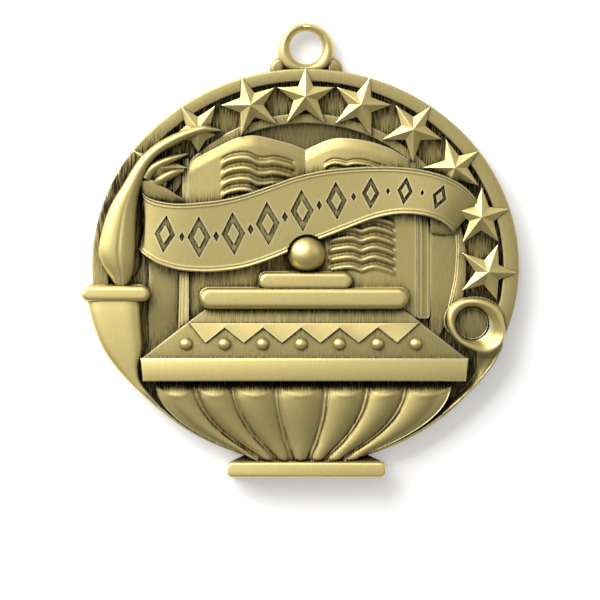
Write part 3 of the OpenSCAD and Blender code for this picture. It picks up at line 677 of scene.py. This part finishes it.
# the lined edges of the leaves beside both pages: ends at the foot and the top, beads as shares of the width
leaves = {
    "leftLeaves": {"low": (-17.75, -16.3), "high": (-17.15, -16.35), "y": (-9.6, 15.0), "top": (2.8, 3.05),
                   "beads": (0.1, 0.45, 0.8)},
    "rightLeaves": {"low": (15.35, 17.35), "high": (15.35, 17.35), "y": (-7.3, 13.6), "top": (2.9, 2.5),
                    "beads": (0.14, 0.42, 0.88)},
}
for name, stack in leaves.items():
    def leafPlace(u, w):
        x = blend(blend(stack["low"][0], stack["high"][0], w), blend(stack["low"][1], stack["high"][1], w), u)
        bead = max(hump(u, middle, 0.07) for middle in stack["beads"])
        y = blend(*stack["y"], w) + 0.5 * (1 - w) * abs(2 * u - 1) ** 6
        return (x, y, blend(*stack["top"], u) + 0.06 * bead)
    settle(castSheet(48, 8, leafPlace, 1.0), name, smoothBrass if name == "leftLeaves" else pageBrass)
print("book done")

# the knob's place, which the banner leaves free
knob = {"middle": (0.16, 1.67), "radius": 2.6, "lift": 2.93, "foot": 1.2}

# banner
banner = {
    "middle": (0.5, 6.5),
    "half": (23.8, 7.35),
    "low": 3.1,
    "crown": 1.5,
    # beads along both edges: distance from the edge, width, height
    "beads": [(0.18, 0.16, 0.15), (0.62, 0.14, 0.05)],
    "pinch": 0.8,
    # top x, top y, bottom x, bottom y in half lengths and half heights, crown
    "rows": [[-0.997, 0.7, -0.996, -0.585, 0.15], [-0.97, 0.49, -0.975, -0.66, 0.5],
             [-0.915, 0.38, -0.93, -0.76, 0.75], [-0.835, 0.32, -0.87, -0.865, 0.9],
             [-0.745, 0.3, -0.76, -0.965, 1], [-0.625, 0.325, -0.62, -1, 1],
             [-0.505, 0.375, -0.485, -0.975, 0.95], [-0.38, 0.47, -0.36, -0.905, 0.9],
             [-0.225, 0.64, -0.205, -0.735, 0.85], [-0.07, 0.815, -0.055, -0.53, 0.8],
             [0.075, 0.92, 0.095, -0.34, 0.75], [0.22, 0.975, 0.23, -0.17, 0.72],
             [0.37, 1, 0.365, -0.005, 0.72], [0.505, 0.995, 0.49, 0.085, 0.78],
             [0.655, 0.94, 0.6, 0.095, 0.88], [0.785, 0.83, 0.7, 0.045, 0.92],
             [0.89, 0.66, 0.775, -0.055, 0.8], [0.965, 0.44, 0.825, -0.185, 0.5],
             [0.992, 0.28, 0.84, -0.25, 0.25]],
    # sunk ring round the knob: its depth, and from how far outside the knob to how far it rises again
    "knobGap": (0.8, -0.12, 0.12),
    "motifs": 9,
    "motifEnds": (-19.6, 18.6),
    # half height of a lozenge and of a point in shares of the banner's height, and its width in half heights
    "motifTall": 0.325,
    "pointTall": 0.09,
    "motifWide": 0.55,
    "motifDeep": 0.4,
    # tool that cuts them: its height, size of its lower end for a lozenge and for a point,
    # width of the lozenge's wall above and below
    "toolTall": 1.4,
    "slope": (0.9, 0.8),
    "wall": (0.44, 0.3),
}


def bannerPoint(u, w):
    topX, topY, lowX, lowY, crown = smoothRow(banner["rows"], u)
    x = banner["middle"][0] + blend(lowX, topX, w) * banner["half"][0]
    y = banner["middle"][1] + blend(lowY, topY, w) * banner["half"][1]
    x += banner["pinch"] * math.sin(math.pi * w) * (1 - fade(u, 0, 0.09))
    wide = math.hypot((topX - lowX) * banner["half"][0], (topY - lowY) * banner["half"][1])
    return x, y, banner["low"] + crown * banner["crown"], wide


def bannerPlace(u, w):
    across = blend(w, edgeStep(w), 0.85)
    x, y, z, wide = bannerPoint(u, across)
    fromEdge = min(across, 1 - across) * wide
    for middle, width, rise in banner["beads"]:
        z += rise * hump(fromEdge, middle, width)
    deep, near, far = banner["knobGap"]
    fromKnob = math.hypot(x - knob["middle"][0], y - knob["middle"][1]) - knob["radius"]
    z -= deep * (1 - fade(fromKnob, near, far))
    return (x, y, z - 0.1 * (1 - fade(fromEdge, 0, 0.12)))


def bannerShare(x):
    # how far along the banner its middle line reaches a given x
    low, high = 0, 1
    for step in range(30):
        middle = (low + high) / 2
        if bannerPoint(middle, 0.5)[0] < x:
            low = middle
        else:
            high = middle
    return low


ribbon = castSheet(300, 130, bannerPlace, 1.0)

# engraved lozenges with sloping walls, and a small point between two of them
cutters = []
last = banner["motifs"] * 2 - 2
for index in range(last + 1):
    small = index % 2 == 1
    t = bannerShare(blend(*banner["motifEnds"], index / last))
    x, y, z, wide = bannerPoint(t, 0.5)
    ax, ay = bannerPoint(t, 1)[:2]
    bx, by = bannerPoint(t, 0)[:2]
    tall = wide * banner["pointTall" if small else "motifTall"]
    half = banner["toolTall"] / 2
    bpy.ops.mesh.primitive_cylinder_add(vertices=4, radius=1, depth=banner["toolTall"], location=(0, 0, 0))
    cutter = bpy.context.object
    openMesh(cutter)
    choose("FACE", lambda f: f.normal.z < -0.9)
    slope = banner["slope"][small]
    bpy.ops.transform.resize(value=(slope, slope, 1), center_override=(0, 0, -half))
    if not small:
        for up, wall in zip((1, -1), banner["wall"]):
            choose("FACE", lambda f: up * f.normal.z > 0.9)
            bpy.ops.mesh.inset(thickness=wall, depth=0)
        choose("FACE", lambda f: abs(f.normal.z) > 0.9 and max(abs(v.co.x) for v in f.verts) < 0.75
               and all(abs(v.co.x) + abs(v.co.y) < 0.8 for v in f.verts))
        bpy.ops.mesh.bridge_edge_loops()
    closeMesh()
    cutter.scale = (tall * banner["motifWide"], tall, 1)
    cutter.rotation_euler = (0, 0, math.atan2(ay - by, ax - bx) - math.pi / 2)
    cutter.location = (x, y, z - banner["motifDeep"] + half)
    pick(cutter)
    applyPlace()
    cutters.append(cutter)
cutter = joinPieces(cutters)
openMesh(cutter, "FACE")
chooseAll()
bpy.ops.mesh.normals_make_consistent(inside=False)
closeMesh()
pick(ribbon)
carve = ribbon.modifiers.new("engraving", "BOOLEAN")
carve.operation = "DIFFERENCE"
carve.object = cutter
carve.solver = "EXACT"
carve.use_self = True
bpy.ops.object.modifier_apply(modifier="engraving")
bpy.data.objects.remove(cutter)
settle(ribbon, "banner", pageBrass, 32)

# the turned ends: upper edge x and y, lower edge x and y, height of the upper edge;
# dip: how much lower the lower edge lies
folds = {
    "leftFold": {
        "rows": [[-23.22, 11.85, -23.2, 11.5, 3.95], [-22.25, 12.07, -22.5, 9.9, 4.0],
                 [-21.24, 12.0, -21.5, 9.2, 3.95], [-20.4, 11.4, -20.4, 8.95, 3.85],
                 [-19.36, 10.85, -19.3, 8.8, 3.7], [-18.67, 10.4, -18.5, 8.7, 3.55],
                 [-18.0, 9.95, -17.9, 8.6, 3.3], [-17.0, 9.4, -17.0, 8.5, 2.8]],
        "foot": 0.9, "dip": 0.3, "finish": pageBrass},
    "rightFold": {
        "rows": [[17.2, 7.25, 17.6, 4.5, 2.9], [19.0, 7.25, 19.3, 4.35, 3.0], [21.0, 7.25, 20.85, 4.45, 2.9]],
        "foot": 0.95, "dip": 0, "finish": brushedBrass},
}
for name, fold in folds.items():
    def foldPlace(u, w):
        topX, topY, lowX, lowY, top = smoothRow(fold["rows"], u)
        z = top + 0.2 * dome(w) - fold["dip"] * (1 - w) ** 1.6
        return (blend(lowX, topX, w), blend(lowY, topY, w), z)
    settle(castSheet(96, 30, foldPlace, fold["foot"]), name, fold["finish"], 60)
print("banner done")

# flame, a lick behind it and two tongues; rows: left x, left y, right x, right y, share of the crown
# and, where there is one, depth of the crease, from the tip down
flames = {
    "flame": {
        "low": 3.6, "crown": 1.5, "foot": 0.6, "round": 2.2, "grid": (120, 40), "finish": smoothBrass,
        "rows": [[-11.8, 18.98, -11.95, 18.75, 0.4, 0], [-13.2, 19.4, -13.1, 18.65, 0.7, 0],
                 [-14.72, 19.6, -14.6, 18.35, 0.85, 0], [-18.1, 18.5, -17.2, 17.3, 0.93, 0],
                 [-21.1, 16.86, -19.9, 15.7, 0.97, 0], [-23.35, 14.7, -21.6, 13.9, 1, 0],
                 [-25.3, 11.6, -22.9, 11.0, 0.98, 0], [-27.5, 7.7, -23.5, 7.6, 0.96, 0.03],
                 [-28.8, 2.9, -23.7, 2.9, 0.95, 0.08], [-28.5, 0.45, -23.8, 0.45, 0.85, 0.08],
                 [-27.2, -1.6, -24.3, -1.6, 0.6, 0.06], [-26.3, -3.2, -25.0, -3.2, 0.4, 0.03]]},
    # the lick behind takes the darker brushed finish, painted shade for its side turned away from the light
    "flameBack": {
        "low": 2.0, "crown": 1.2, "foot": 0.7, "round": 1.8, "grid": (48, 18), "finish": brushedBrass,
        "rows": [[-23.2, 9.6, -22.9, 9.4, 0.1], [-23.8, 8.0, -22.75, 7.8, 0.5],
                 [-24.2, 5.6, -22.75, 5.4, 0.85], [-24.6, 2.9, -22.8, 2.9, 0.9],
                 [-24.9, 0.2, -23.0, 0.2, 0.8], [-25.2, -1.7, -23.9, -1.7, 0.3]]},
    "upperTongue": {
        "low": 3.5, "crown": 1.3, "foot": 0.8, "round": 1.8, "grid": (48, 18), "finish": smoothBrass,
        "rows": [[-16.4, 15.75, -16.5, 15.5, 0.2], [-17.8, 15.6, -17.75, 14.75, 0.6],
                 [-19.3, 15.35, -18.95, 14.1, 0.85], [-20.7, 14.9, -19.9, 13.55, 0.95],
                 [-22.0, 14.1, -20.9, 12.8, 1], [-23.1, 12.6, -21.6, 11.8, 0.8]]},
    "lowerTongue": {
        "low": 3.4, "crown": 1.2, "foot": 0.85, "round": 1.8, "grid": (48, 18), "finish": smoothBrass,
        "rows": [[-16.9, 13.5, -16.95, 13.15, 0.3], [-18.2, 13.6, -17.8, 12.65, 0.7],
                 [-19.4, 13.3, -18.7, 12.1, 0.9], [-20.6, 12.7, -19.8, 11.4, 0.95],
                 [-21.5, 12.0, -20.7, 10.8, 0.5], [-22.3, 11.2, -21.4, 10.2, 0.1]]},
}
for name, part in flames.items():
    def flamePlace(u, w):
        leftX, leftY, rightX, rightY, crown, *crease = smoothRow(part["rows"], u)
        across = edgeStep(w)
        height = dome(across, part["round"]) * crown - sum(crease) * hump(across, 0.55, 0.035)
        z = part["low"] + part["crown"] * height
        return (blend(leftX, rightX, across), blend(leftY, rightY, across), z)
    settle(castSheet(*part["grid"], flamePlace, part["foot"]), name, part["finish"], 60)
print("flame done")

# spout
mouth = {"x": (-31.25, -21.7), "y": (-4.95, -2.75), "top": 4.85, "foot": 0.1}
settle(roundedBar(*mouth["x"], *mouth["y"], mouth["foot"], mouth["top"], 0.6), "mouthRing", polishedAndLitBrass, 50)
settle(roundedBar(mouth["x"][0] + 0.5, mouth["x"][1] - 0.4, mouth["y"][0] + 0.6, mouth["y"][1] + 0.28,
                  0.2, 3.5, 0.4), "mouthBackLip", smoothBrass, 50)

spout = {
    "top": -4.85,
    "length": 15.0,
    "low": 3.6,
    "crown": 0.9,
    # how far the lower end sinks
    "sink": 0.45,
    # share of length, swell beyond the oval, right edge x, crown
    "rows": [[0, 1.05, -23.2, 0.9], [0.12, 1.12, -23.1, 1], [0.27, 1.2, -22.95, 1], [0.4, 1.25, -22.8, 0.95],
             [0.52, 1.15, -22.9, 0.85], [0.64, 0.85, -23.2, 0.7], [0.76, 0.5, -22.9, 0.5],
             [0.88, 0.15, -21.6, 0.3], [1, 0.0, -19.9, 0.1]],
}


def ovalX(y):
    return body["halfWidth"] * math.sqrt(max(0, 1 - (y / body["halfHeight"]) ** 2))


def spoutPlace(u, w):
    share, swell, right, crown = smoothRow(spout["rows"], u)
    y = spout["top"] - share * spout["length"]
    across = edgeStep(w)
    z = spout["low"] + spout["crown"] * crown * dome(across, 4.5) - spout["sink"] * fade(share, 0.84, 1)
    return (blend(-ovalX(y) - swell, right, across), y, z)


settle(castSheet(70, 40, spoutPlace, 0.1), "spout", polishedAndLitBrass, 60)
print("spout done")

# handle
curl = {
    "eyeMiddle": (23.2, -8.0), "eye": 2.37,
    "foot": 0.7, "floor": 2.9, "thick": 0.85,
    "backMiddle": (23.55, -7.55), "back": (4.35, 3.35),
    # the ring every 30 degrees clockwise from the top: its outer edge's distance from the eye's middle,
    # how far out the crest is, height of the crest
    "ring": [[3.6, 0.5, 4.45], [3.8, 0.56, 4.45], [4.3, 0.68, 4.42], [4.5, 0.84, 4.38], [5.05, 0.88, 4.2],
             [5.0, 0.76, 4.1], [3.75, 0.66, 4.35], [3.38, 0.56, 4.45], [3.3, 0.5, 4.45], [3.52, 0.5, 4.45],
             [3.85, 0.5, 4.45], [3.75, 0.5, 4.45], [3.6, 0.5, 4.45]],
}


def ringRow(x, y):
    # the table's row for a direction, seen from the eye's middle
    clockwise = (math.pi / 2 - math.atan2(y, x)) % (2 * math.pi)
    return smoothRow(curl["ring"], clockwise / (2 * math.pi))


bpy.ops.mesh.primitive_torus_add(major_segments=120, minor_segments=36, major_radius=3, minor_radius=1)
knot = bpy.context.object
for vert in knot.data.vertices:
    outer, crest, top = ringRow(vert.co.x, vert.co.y)
    reach = math.hypot(vert.co.x, vert.co.y)
    share = max(0, (reach - 2) / 2) ** (math.log(crest) / math.log(0.5))
    length = blend(curl["eye"], outer, share) / reach
    fall = 1 if vert.co.z > 0 else 2.2
    vert.co = (curl["eyeMiddle"][0] + vert.co.x * length, curl["eyeMiddle"][1] + vert.co.y * length,
               top - curl["thick"] + vert.co.z * curl["thick"] * fall)
settle(knot, "handleCurl", smoothBrass, 60)
bpy.ops.mesh.primitive_cylinder_add(vertices=80, radius=curl["eye"] + 0.4, depth=curl["floor"] - curl["foot"],
                                    location=(*curl["eyeMiddle"], (curl["floor"] + curl["foot"]) / 2))
eye = bpy.context.object
openMesh(eye, "FACE")
choose("FACE", lambda f: f.normal.z > 0.9)
bpy.ops.mesh.inset(thickness=0.85, depth=0)
bpy.ops.mesh.inset(thickness=0.5, depth=0.05)
closeMesh()
settle(eye, "handleEye", brushedBrass)
bpy.ops.mesh.primitive_torus_add(major_segments=80, minor_segments=16, major_radius=curl["eye"] - 0.2,
                                 minor_radius=0.11, location=(*curl["eyeMiddle"], curl["floor"] + 0.08))
eyeRing = bpy.context.object
openMesh(eyeRing)
choose("VERT", lambda v: v.co.z < 0)
bpy.ops.transform.translate(value=(0, 0, -0.1))
closeMesh()
settle(eyeRing, "handleEyeRing", brushedBrass)
bpy.ops.mesh.primitive_cylinder_add(vertices=96, radius=1, depth=2.3, location=(*curl["backMiddle"], 2.0))
backDisc = bpy.context.object
backDisc.scale = (*curl["back"], 1)
pick(backDisc)
applyPlace()
openMesh(backDisc, "EDGE")
choose("EDGE", above(0.8))
roundEdges(0.15, 3)
choose("FACE", lambda f: f.normal.z > 0.9 and f.calc_area() > 20)
bpy.ops.mesh.inset(thickness=0.1, depth=0)
bpy.ops.mesh.extrude_region_move(TRANSFORM_OT_translate={"value": (0, 0, -1.3)})
closeMesh()
settle(backDisc, "handleBack", brushedBrass)

tail = {
    # inner x, y and height, outer x, y and height, from inside the curl down to its end on the oval
    "rows": [[23.8, -10.6, 4.2, 27.3, -9.5, 4.2], [23.85, -12.0, 3.95, 27.42, -11.15, 3.9],
             [23.8, -12.8, 3.72, 26.83, -12.55, 3.75], [23.85, -13.6, 3.5, 26.25, -13.6, 3.65],
             [23.7, -14.5, 3.3, 25.42, -14.7, 3.6], [23.15, -15.6, 3.1, 24.4, -15.95, 3.58],
             [22.25, -16.7, 2.85, 23.35, -17.1, 3.56], [21.05, -17.85, 2.6, 22.08, -18.32, 3.55],
             [19.65, -19.05, 2.3, 20.62, -19.66, 3.5], [18.4, -20.2, 1.9, 19.25, -20.8, 3.4]],
    # distance from the crest over which it leaves the curl's height
    "blend": 1.3,
}


def tailPlace(u, w):
    innerX, innerY, innerZ, outerX, outerY, outerZ = smoothRow(tail["rows"], u)
    across = blend(w, edgeStep(w), 0.7)
    fromEdge = (1 - across) * math.hypot(outerX - innerX, outerY - innerY)
    edge = 0.08 * hump(fromEdge, 0.2, 0.14) - 0.3 * (1 - fade(fromEdge, 0, 0.16))
    awayX = blend(innerX, outerX, across) - curl["eyeMiddle"][0]
    awayY = blend(innerY, outerY, across) - curl["eyeMiddle"][1]
    outer, crest, top = ringRow(awayX, awayY)
    # nothing of it stands inside the curl's crest, and there it runs on from the curl's height
    crestReach = blend(curl["eye"], outer, crest)
    reach = max(math.hypot(awayX, awayY), crestReach)
    longer = reach / math.hypot(awayX, awayY)
    height = blend(innerZ, outerZ, fade(across, 0, 0.7)) + edge
    return (curl["eyeMiddle"][0] + awayX * longer, curl["eyeMiddle"][1] + awayY * longer,
            blend(top - 0.01, height, fade(reach - crestReach, 0, tail["blend"])))


settle(castSheet(110, 40, tailPlace, 0.5), "handleTail", brushedBrass, 60)
print("handle done")

# knob and bars
bars = {
    "wideBar": {"x": (-14.7, 14.3), "y": (-6.0, -3.05), "top": 4.8, "foot": 1.0},
    "narrowBar": {"x": (-6.5, 6.5), "y": (-3.35, -0.88), "top": 4.55, "foot": 0.95},
}
for name, bar in bars.items():
    settle(roundedBar(*bar["x"], *bar["y"], bar["foot"], bar["top"], 0.5), name, smoothBrass, 50)
    lip = roundedBar(bar["x"][0] - 0.12, bar["x"][1] + 0.15, bar["y"][0] + 0.4, bar["y"][1] + 0.22,
                     bar["foot"] - 0.1, bar["top"] - 1.15, 0.2)
    settle(lip, name + "Lip", smoothBrass, 50)
ball = cutBall((*knob["middle"], knob["lift"]), knob["radius"], 64, 40, knob["foot"])
settle(ball, "knob", polishedAndLitBrass, 60)
print("knob and bars done")

# lid
lid = {
    "middle": -0.2,
    "low": -12.95,
    "high": -6.05,
    "halfLow": 22.75,
    "halfHigh": 13.9,
    "faceLow": 4.35,
    "faceHigh": 3.45,
    "bandHigh": -7.9,
    "gap": -8.6,
    "tip": -10.72,
    "teeth": 6,
    "firstTooth": -13.95,
    "pitch": 5.33,
    # how far the zigzag band stands on the face, at its upper edge and its lower one
    "bandRise": (0.42, 0.34),
    "studs": {"radius": 0.9, "y": -10.85, "sink": 0.1, "foot": 3.3},
}


def lidShare(y):
    return (y - lid["low"]) / (lid["high"] - lid["low"])


def lidHalf(y):
    return blend(lid["halfLow"], lid["halfHigh"], lidShare(y))


def lidFace(y):
    return blend(lid["faceLow"], lid["faceHigh"], lidShare(y))


field = addBlock((lid["middle"] - 1, lid["low"], 0.9), (lid["middle"] + 1, lid["high"], 4))
for vert in field.data.vertices:
    side = 1 if vert.co.x > lid["middle"] else -1
    vert.co.x = lid["middle"] + side * lidHalf(vert.co.y)
    if vert.co.z > 2:
        vert.co.z = lidFace(vert.co.y)
openMesh(field, "EDGE")
choose("EDGE", above(3.3))
roundEdges(0.16, 3)
closeMesh()
settle(field, "lid", lidBrass)

columns = lid["teeth"] * 2
bpy.ops.mesh.primitive_grid_add(x_subdivisions=columns, y_subdivisions=1, size=1)
zigzag = bpy.context.object
for vert in zigzag.data.vertices:
    index = round((vert.co.x + 0.5) * columns)
    if vert.co.y > 0:
        reach = lidHalf(lid["bandHigh"]) - 0.16
        x = blend(-reach, reach, index / columns)
        vert.co = (lid["middle"] + x, lid["bandHigh"], lidFace(lid["bandHigh"]) + lid["bandRise"][0])
    else:
        y = lid["tip"] if index % 2 == 1 else lid["gap"]
        x = lid["firstTooth"] + lid["pitch"] * (index - 1) / 2
        if index in (0, columns):
            y = lid["bandHigh"] - 0.15
            x = (-1 if index == 0 else 1) * (lidHalf(lid["bandHigh"]) - 0.4) + lid["middle"]
        vert.co = (x, y, lidFace(y) + lid["bandRise"][1])
openMesh(zigzag, "FACE")
chooseAll()
bpy.ops.mesh.extrude_region_move(TRANSFORM_OT_translate={"value": (0, 0, -1.0)})
choose("EDGE", lambda e: above(3.6)(e) and atWall(e))
roundEdges(0.14, 3)
closeMesh()
settle(zigzag, "zigzagBand", smoothBrass, 25)

stud = lid["studs"]
for index in range(lid["teeth"] + 1):
    place = (lid["firstTooth"] + (index - 0.5) * lid["pitch"], stud["y"], lidFace(stud["y"]) - stud["sink"])
    settle(cutBall(place, stud["radius"], 32, 18, stud["foot"]), f"stud{index + 1}", polishedAndLitBrass, 60)

rimBar = {
    "x": (-22.95, 22.6),
    "y": (-16.0, -12.85),
    "z": (1.1, 5.15),
    # sloping border: its width, how far it is narrowed at the ends and below, how far its outer edge falls
    "border": 0.42, "endShift": 0.28, "lowShift": -0.3, "fall": 0.14,
    "taper": 0.985,
}
bar = addBlock(*zip(rimBar["x"], rimBar["y"], rimBar["z"]))
top = rimBar["z"][1] - 0.05
openMesh(bar)
choose("VERT", lambda v: v.co.y < -15)
bpy.ops.transform.resize(value=(rimBar["taper"], 1, 1), center_override=(lid["middle"], rimBar["y"][0], 0))
choose("FACE", lambda f: f.normal.z > 0.9)
bpy.ops.mesh.inset(thickness=rimBar["border"], depth=0)
for side in (-1, 1):
    choose("VERT", lambda v: v.co.z > top and 21.6 < side * v.co.x < 22.6 and -15.7 < v.co.y < -13.1)
    bpy.ops.transform.translate(value=(side * rimBar["endShift"], 0, 0))
choose("VERT", lambda v: v.co.z > top and -15.7 < v.co.y < -15.4)
bpy.ops.transform.translate(value=(0, rimBar["lowShift"], 0))
choose("EDGE", lambda e: above(top)(e) and atWall(e))
bpy.ops.transform.translate(value=(0, 0, -rimBar["fall"]))
choose("EDGE", lambda e: above(4.8)(e) and len(e.link_faces) == 2
       and e.link_faces[0].normal.dot(e.link_faces[1].normal) < 0.9)
roundEdges(0.06, 2)
closeMesh()
settle(bar, "rimBar", smoothBrass, 25)

# level fields on both sides, from the lid's slope up under the banner
panels = {
    "leftPanel": {"side": -1, "inner": 17.6, "outer": 21.85, "high": 4.5, "top": 2.15},
    "rightPanel": {"side": 1, "inner": 17.2, "outer": 21.4, "high": 5.5, "top": 2.45},
}
for name, panel in panels.items():
    def panelPlace(u, w):
        outer = panel["outer"]
        half = blend(panel["inner"], outer, u)
        share = (lid["halfLow"] - half) / (lid["halfLow"] - lid["halfHigh"])
        low = lid["low"] + share * (lid["high"] - lid["low"])
        y = blend(low + 0.1, panel["high"], w)
        if panel["side"] > 0:
            outer = min(outer, body["bandInner"][0] * math.sqrt(1 - (y / body["bandInner"][1]) ** 2) + 0.25)
            half = blend(panel["inner"], outer, u)
        return (panel["side"] * half, y, panel["top"] + 0.12 * dome(u, 4) - 0.3 * (1 - fade(w, 0, 0.4)))
    settle(castSheet(24, 24, panelPlace, 0.9), name, channelBrass, 60)
print("lid done")

# bowl
bowl = {
    "middle": -0.3,
    "top": -15.9,
    "height": 11.0,
    "halfTop": 20.6,
    "halfFoot": 6.9,
    "low": 2.6,
    "crown": 1.2,
    # rise of the flutes over their joints, and the least share of it at the bowl's two outer edges
    "fluteRise": 0.78, "outerRise": 0.8,
    # thin raised line in each joint: height and half width
    "joint": (0.13, 0.1),
    # groove beside each joint's raised line: depth, distance from the joint, half width
    "groove": (0.14, 0.3, 0.13),
    # sagging lip at the top of each flute: drop at the joints, further drop in the middle, depth above it
    "lip": (0.8, 1.4, 0.4),
    # how far the flutes' rounded tips reach beyond the joints at the foot
    "tip": 0.58,
    # joints between flutes at the top and at the foot, in half widths
    "joints": [[-1, -0.93], [-0.73, -0.78], [-0.475, -0.5], [-0.18, -0.22], [0.155, 0.11], [0.435, 0.4],
               [0.695, 0.72], [1, 1]],
    # crown down the bowl, evenly spaced
    "fall": [[0.3], [0.75], [0.98], [1], [0.97], [0.91], [0.84], [0.77], [0.71], [0.67], [0.64]],
}


def bowlPlace(u, w):
    s = 1 - w
    count = len(bowl["joints"]) - 1
    place = min(u * count, count - 0.000001)
    k = int(place)
    f = edgeStep(place - k)
    swing = 1 - s ** 2.2
    left, right = (blend(low * bowl["halfFoot"], high * bowl["halfTop"], swing)
                   for high, low in bowl["joints"][k:k + 2])
    drop = s * bowl["height"]
    y = bowl["top"] - drop - bowl["tip"] * math.sin(math.pi * f) * fade(s, 0.85, 1)
    flute = max(0, math.sin(math.pi * f)) ** 0.75
    lipDrop, sag, lipDeep = bowl["lip"]
    lipAt = lipDrop + sag * flute
    lip = fade(drop, 0.1, lipAt)
    bead = hump(drop, lipAt, 0.3)
    outerSide = (k == 0 and f < 0.5) or (k == count - 1 and f > 0.5)
    if outerSide:
        flute = max(flute, bowl["outerRise"])
    foot = 1 - fade(s, 0.955, 1)
    side = 1 - 0.45 * abs(2 * u - 1) ** 4
    z = bowl["low"] + bowl["crown"] * smoothRow(bowl["fall"], s)[0] * side
    z += bowl["fluteRise"] * flute * (1 - 0.55 * s) * (0.25 + 0.75 * foot)
    z += 0.05 * flute * bead - lipDeep * (1 - lip)
    fromJoint = min(f, 1 - f) * (right - left)
    jointHigh, jointWide = bowl["joint"]
    z += jointHigh * hump(fromJoint, 0, jointWide)
    if not outerSide:
        deep, away, wide = bowl["groove"]
        z -= deep * lip * hump(fromJoint, away, wide)
    return (bowl["middle"] + blend(left, right, f), y, z)


settle(castSheet(26 * (len(bowl["joints"]) - 1), 110, bowlPlace, 0.85), "bowl", bowlBrass, 60)

foot = {
    "x": (-10.95, 11.15), "y": (-29.4, -27.3), "z": (0.05, 4.5),
    # the slope behind its face: half width, y and height at its lower and its upper edge
    "slopeMiddle": 0.1, "slopeHalf": (10.85, 8.35), "slopeY": (-27.45, -26.25), "slopeZ": (3.5, 1.6),
}
block = addBlock(*zip(foot["x"], foot["y"], foot["z"]))
openMesh(block, "EDGE")
choose("EDGE", upright)
roundEdges(0.75, 6)
choose("EDGE", lambda e: above(foot["z"][1] - 0.01)(e) and atWall(e))
roundEdges(0.34, 4)
closeMesh()
settle(block, "footFace", polishedAndLitBrass)


def slopePlace(u, w):
    side = 2 * u - 1
    return (foot["slopeMiddle"] + side * blend(*foot["slopeHalf"], w), blend(*foot["slopeY"], w),
            blend(*foot["slopeZ"], w) + 0.3 * dome(0.5 + side * 0.49, 8))


settle(castSheet(40, 10, slopePlace, 0.15), "footSlope", recessBrass)
print("bowl and foot done")

# floor, lights and camera
studio = {"paper": (0.92, 0.92, 0.92, 1), "dull": 0.9, "glow": 0.3, "below": 0.0001, "world": 0.21}
bpy.ops.mesh.primitive_plane_add(size=3, location=(0, 0, -studio["below"]))
floor = bpy.context.object
floor.name = "floor"
paper = bpy.data.materials.new("floorWhite")
paper.use_nodes = True
surface = paper.node_tree.nodes["Principled BSDF"].inputs
surface["Base Color"].default_value = studio["paper"]
surface["Roughness"].default_value = studio["dull"]
surface["Emission Color"].default_value = (1, 1, 1, 1)
surface["Emission Strength"].default_value = studio["glow"]
floor.data.materials.append(paper)

# places and sizes in metres
lights = {
    "keyLeft": {"place": (-0.54, 0.37, 0.55), "size": 0.5, "power": 3.8},
    "keyTop": {"place": (-0.26, 0.6, 0.55), "size": 0.5, "power": 3.8},
    "overhead": {"place": (-0.05, 0.05, 0.62), "size": 0.4, "power": 0.3},
    "fill": {"place": (0.6, 0.3, 0.45), "size": 0.6, "power": 0.7},
    "side": {"place": (-0.6, 0.38, 0.14), "size": 0.3, "power": 2.6},
}
for name, light in lights.items():
    lamp = bpy.data.lights.new(name, "AREA")
    lamp.energy = light["power"]
    lamp.size = light["size"]
    holder = bpy.data.objects.new(name, lamp)
    bpy.context.collection.objects.link(holder)
    holder.location = light["place"]
    aim = -holder.location.copy()
    holder.rotation_euler = aim.to_track_quat("-Z", "Y").to_euler()

room = bpy.data.worlds.new("studio")
bpy.context.scene.world = room
room.use_nodes = True
background = room.node_tree.nodes["Background"].inputs
background["Color"].default_value = (1, 1, 1, 1)
background["Strength"].default_value = studio["world"]

view = {"middle": (-0.79, -4.73), "lens": 300, "width": 83.55, "faceLevel": 3.4}
eyePiece = bpy.data.cameras.new("camera")
eyePiece.lens = view["lens"]
camera = bpy.data.objects.new("camera", eyePiece)
bpy.context.collection.objects.link(camera)
distance = view["width"] * view["lens"] / eyePiece.sensor_width + view["faceLevel"]
camera.location = (view["middle"][0] * mm, view["middle"][1] * mm, distance * mm)
bpy.context.scene.camera = camera
bpy.context.scene.view_settings.view_transform = "Standard"

print("scene ready")
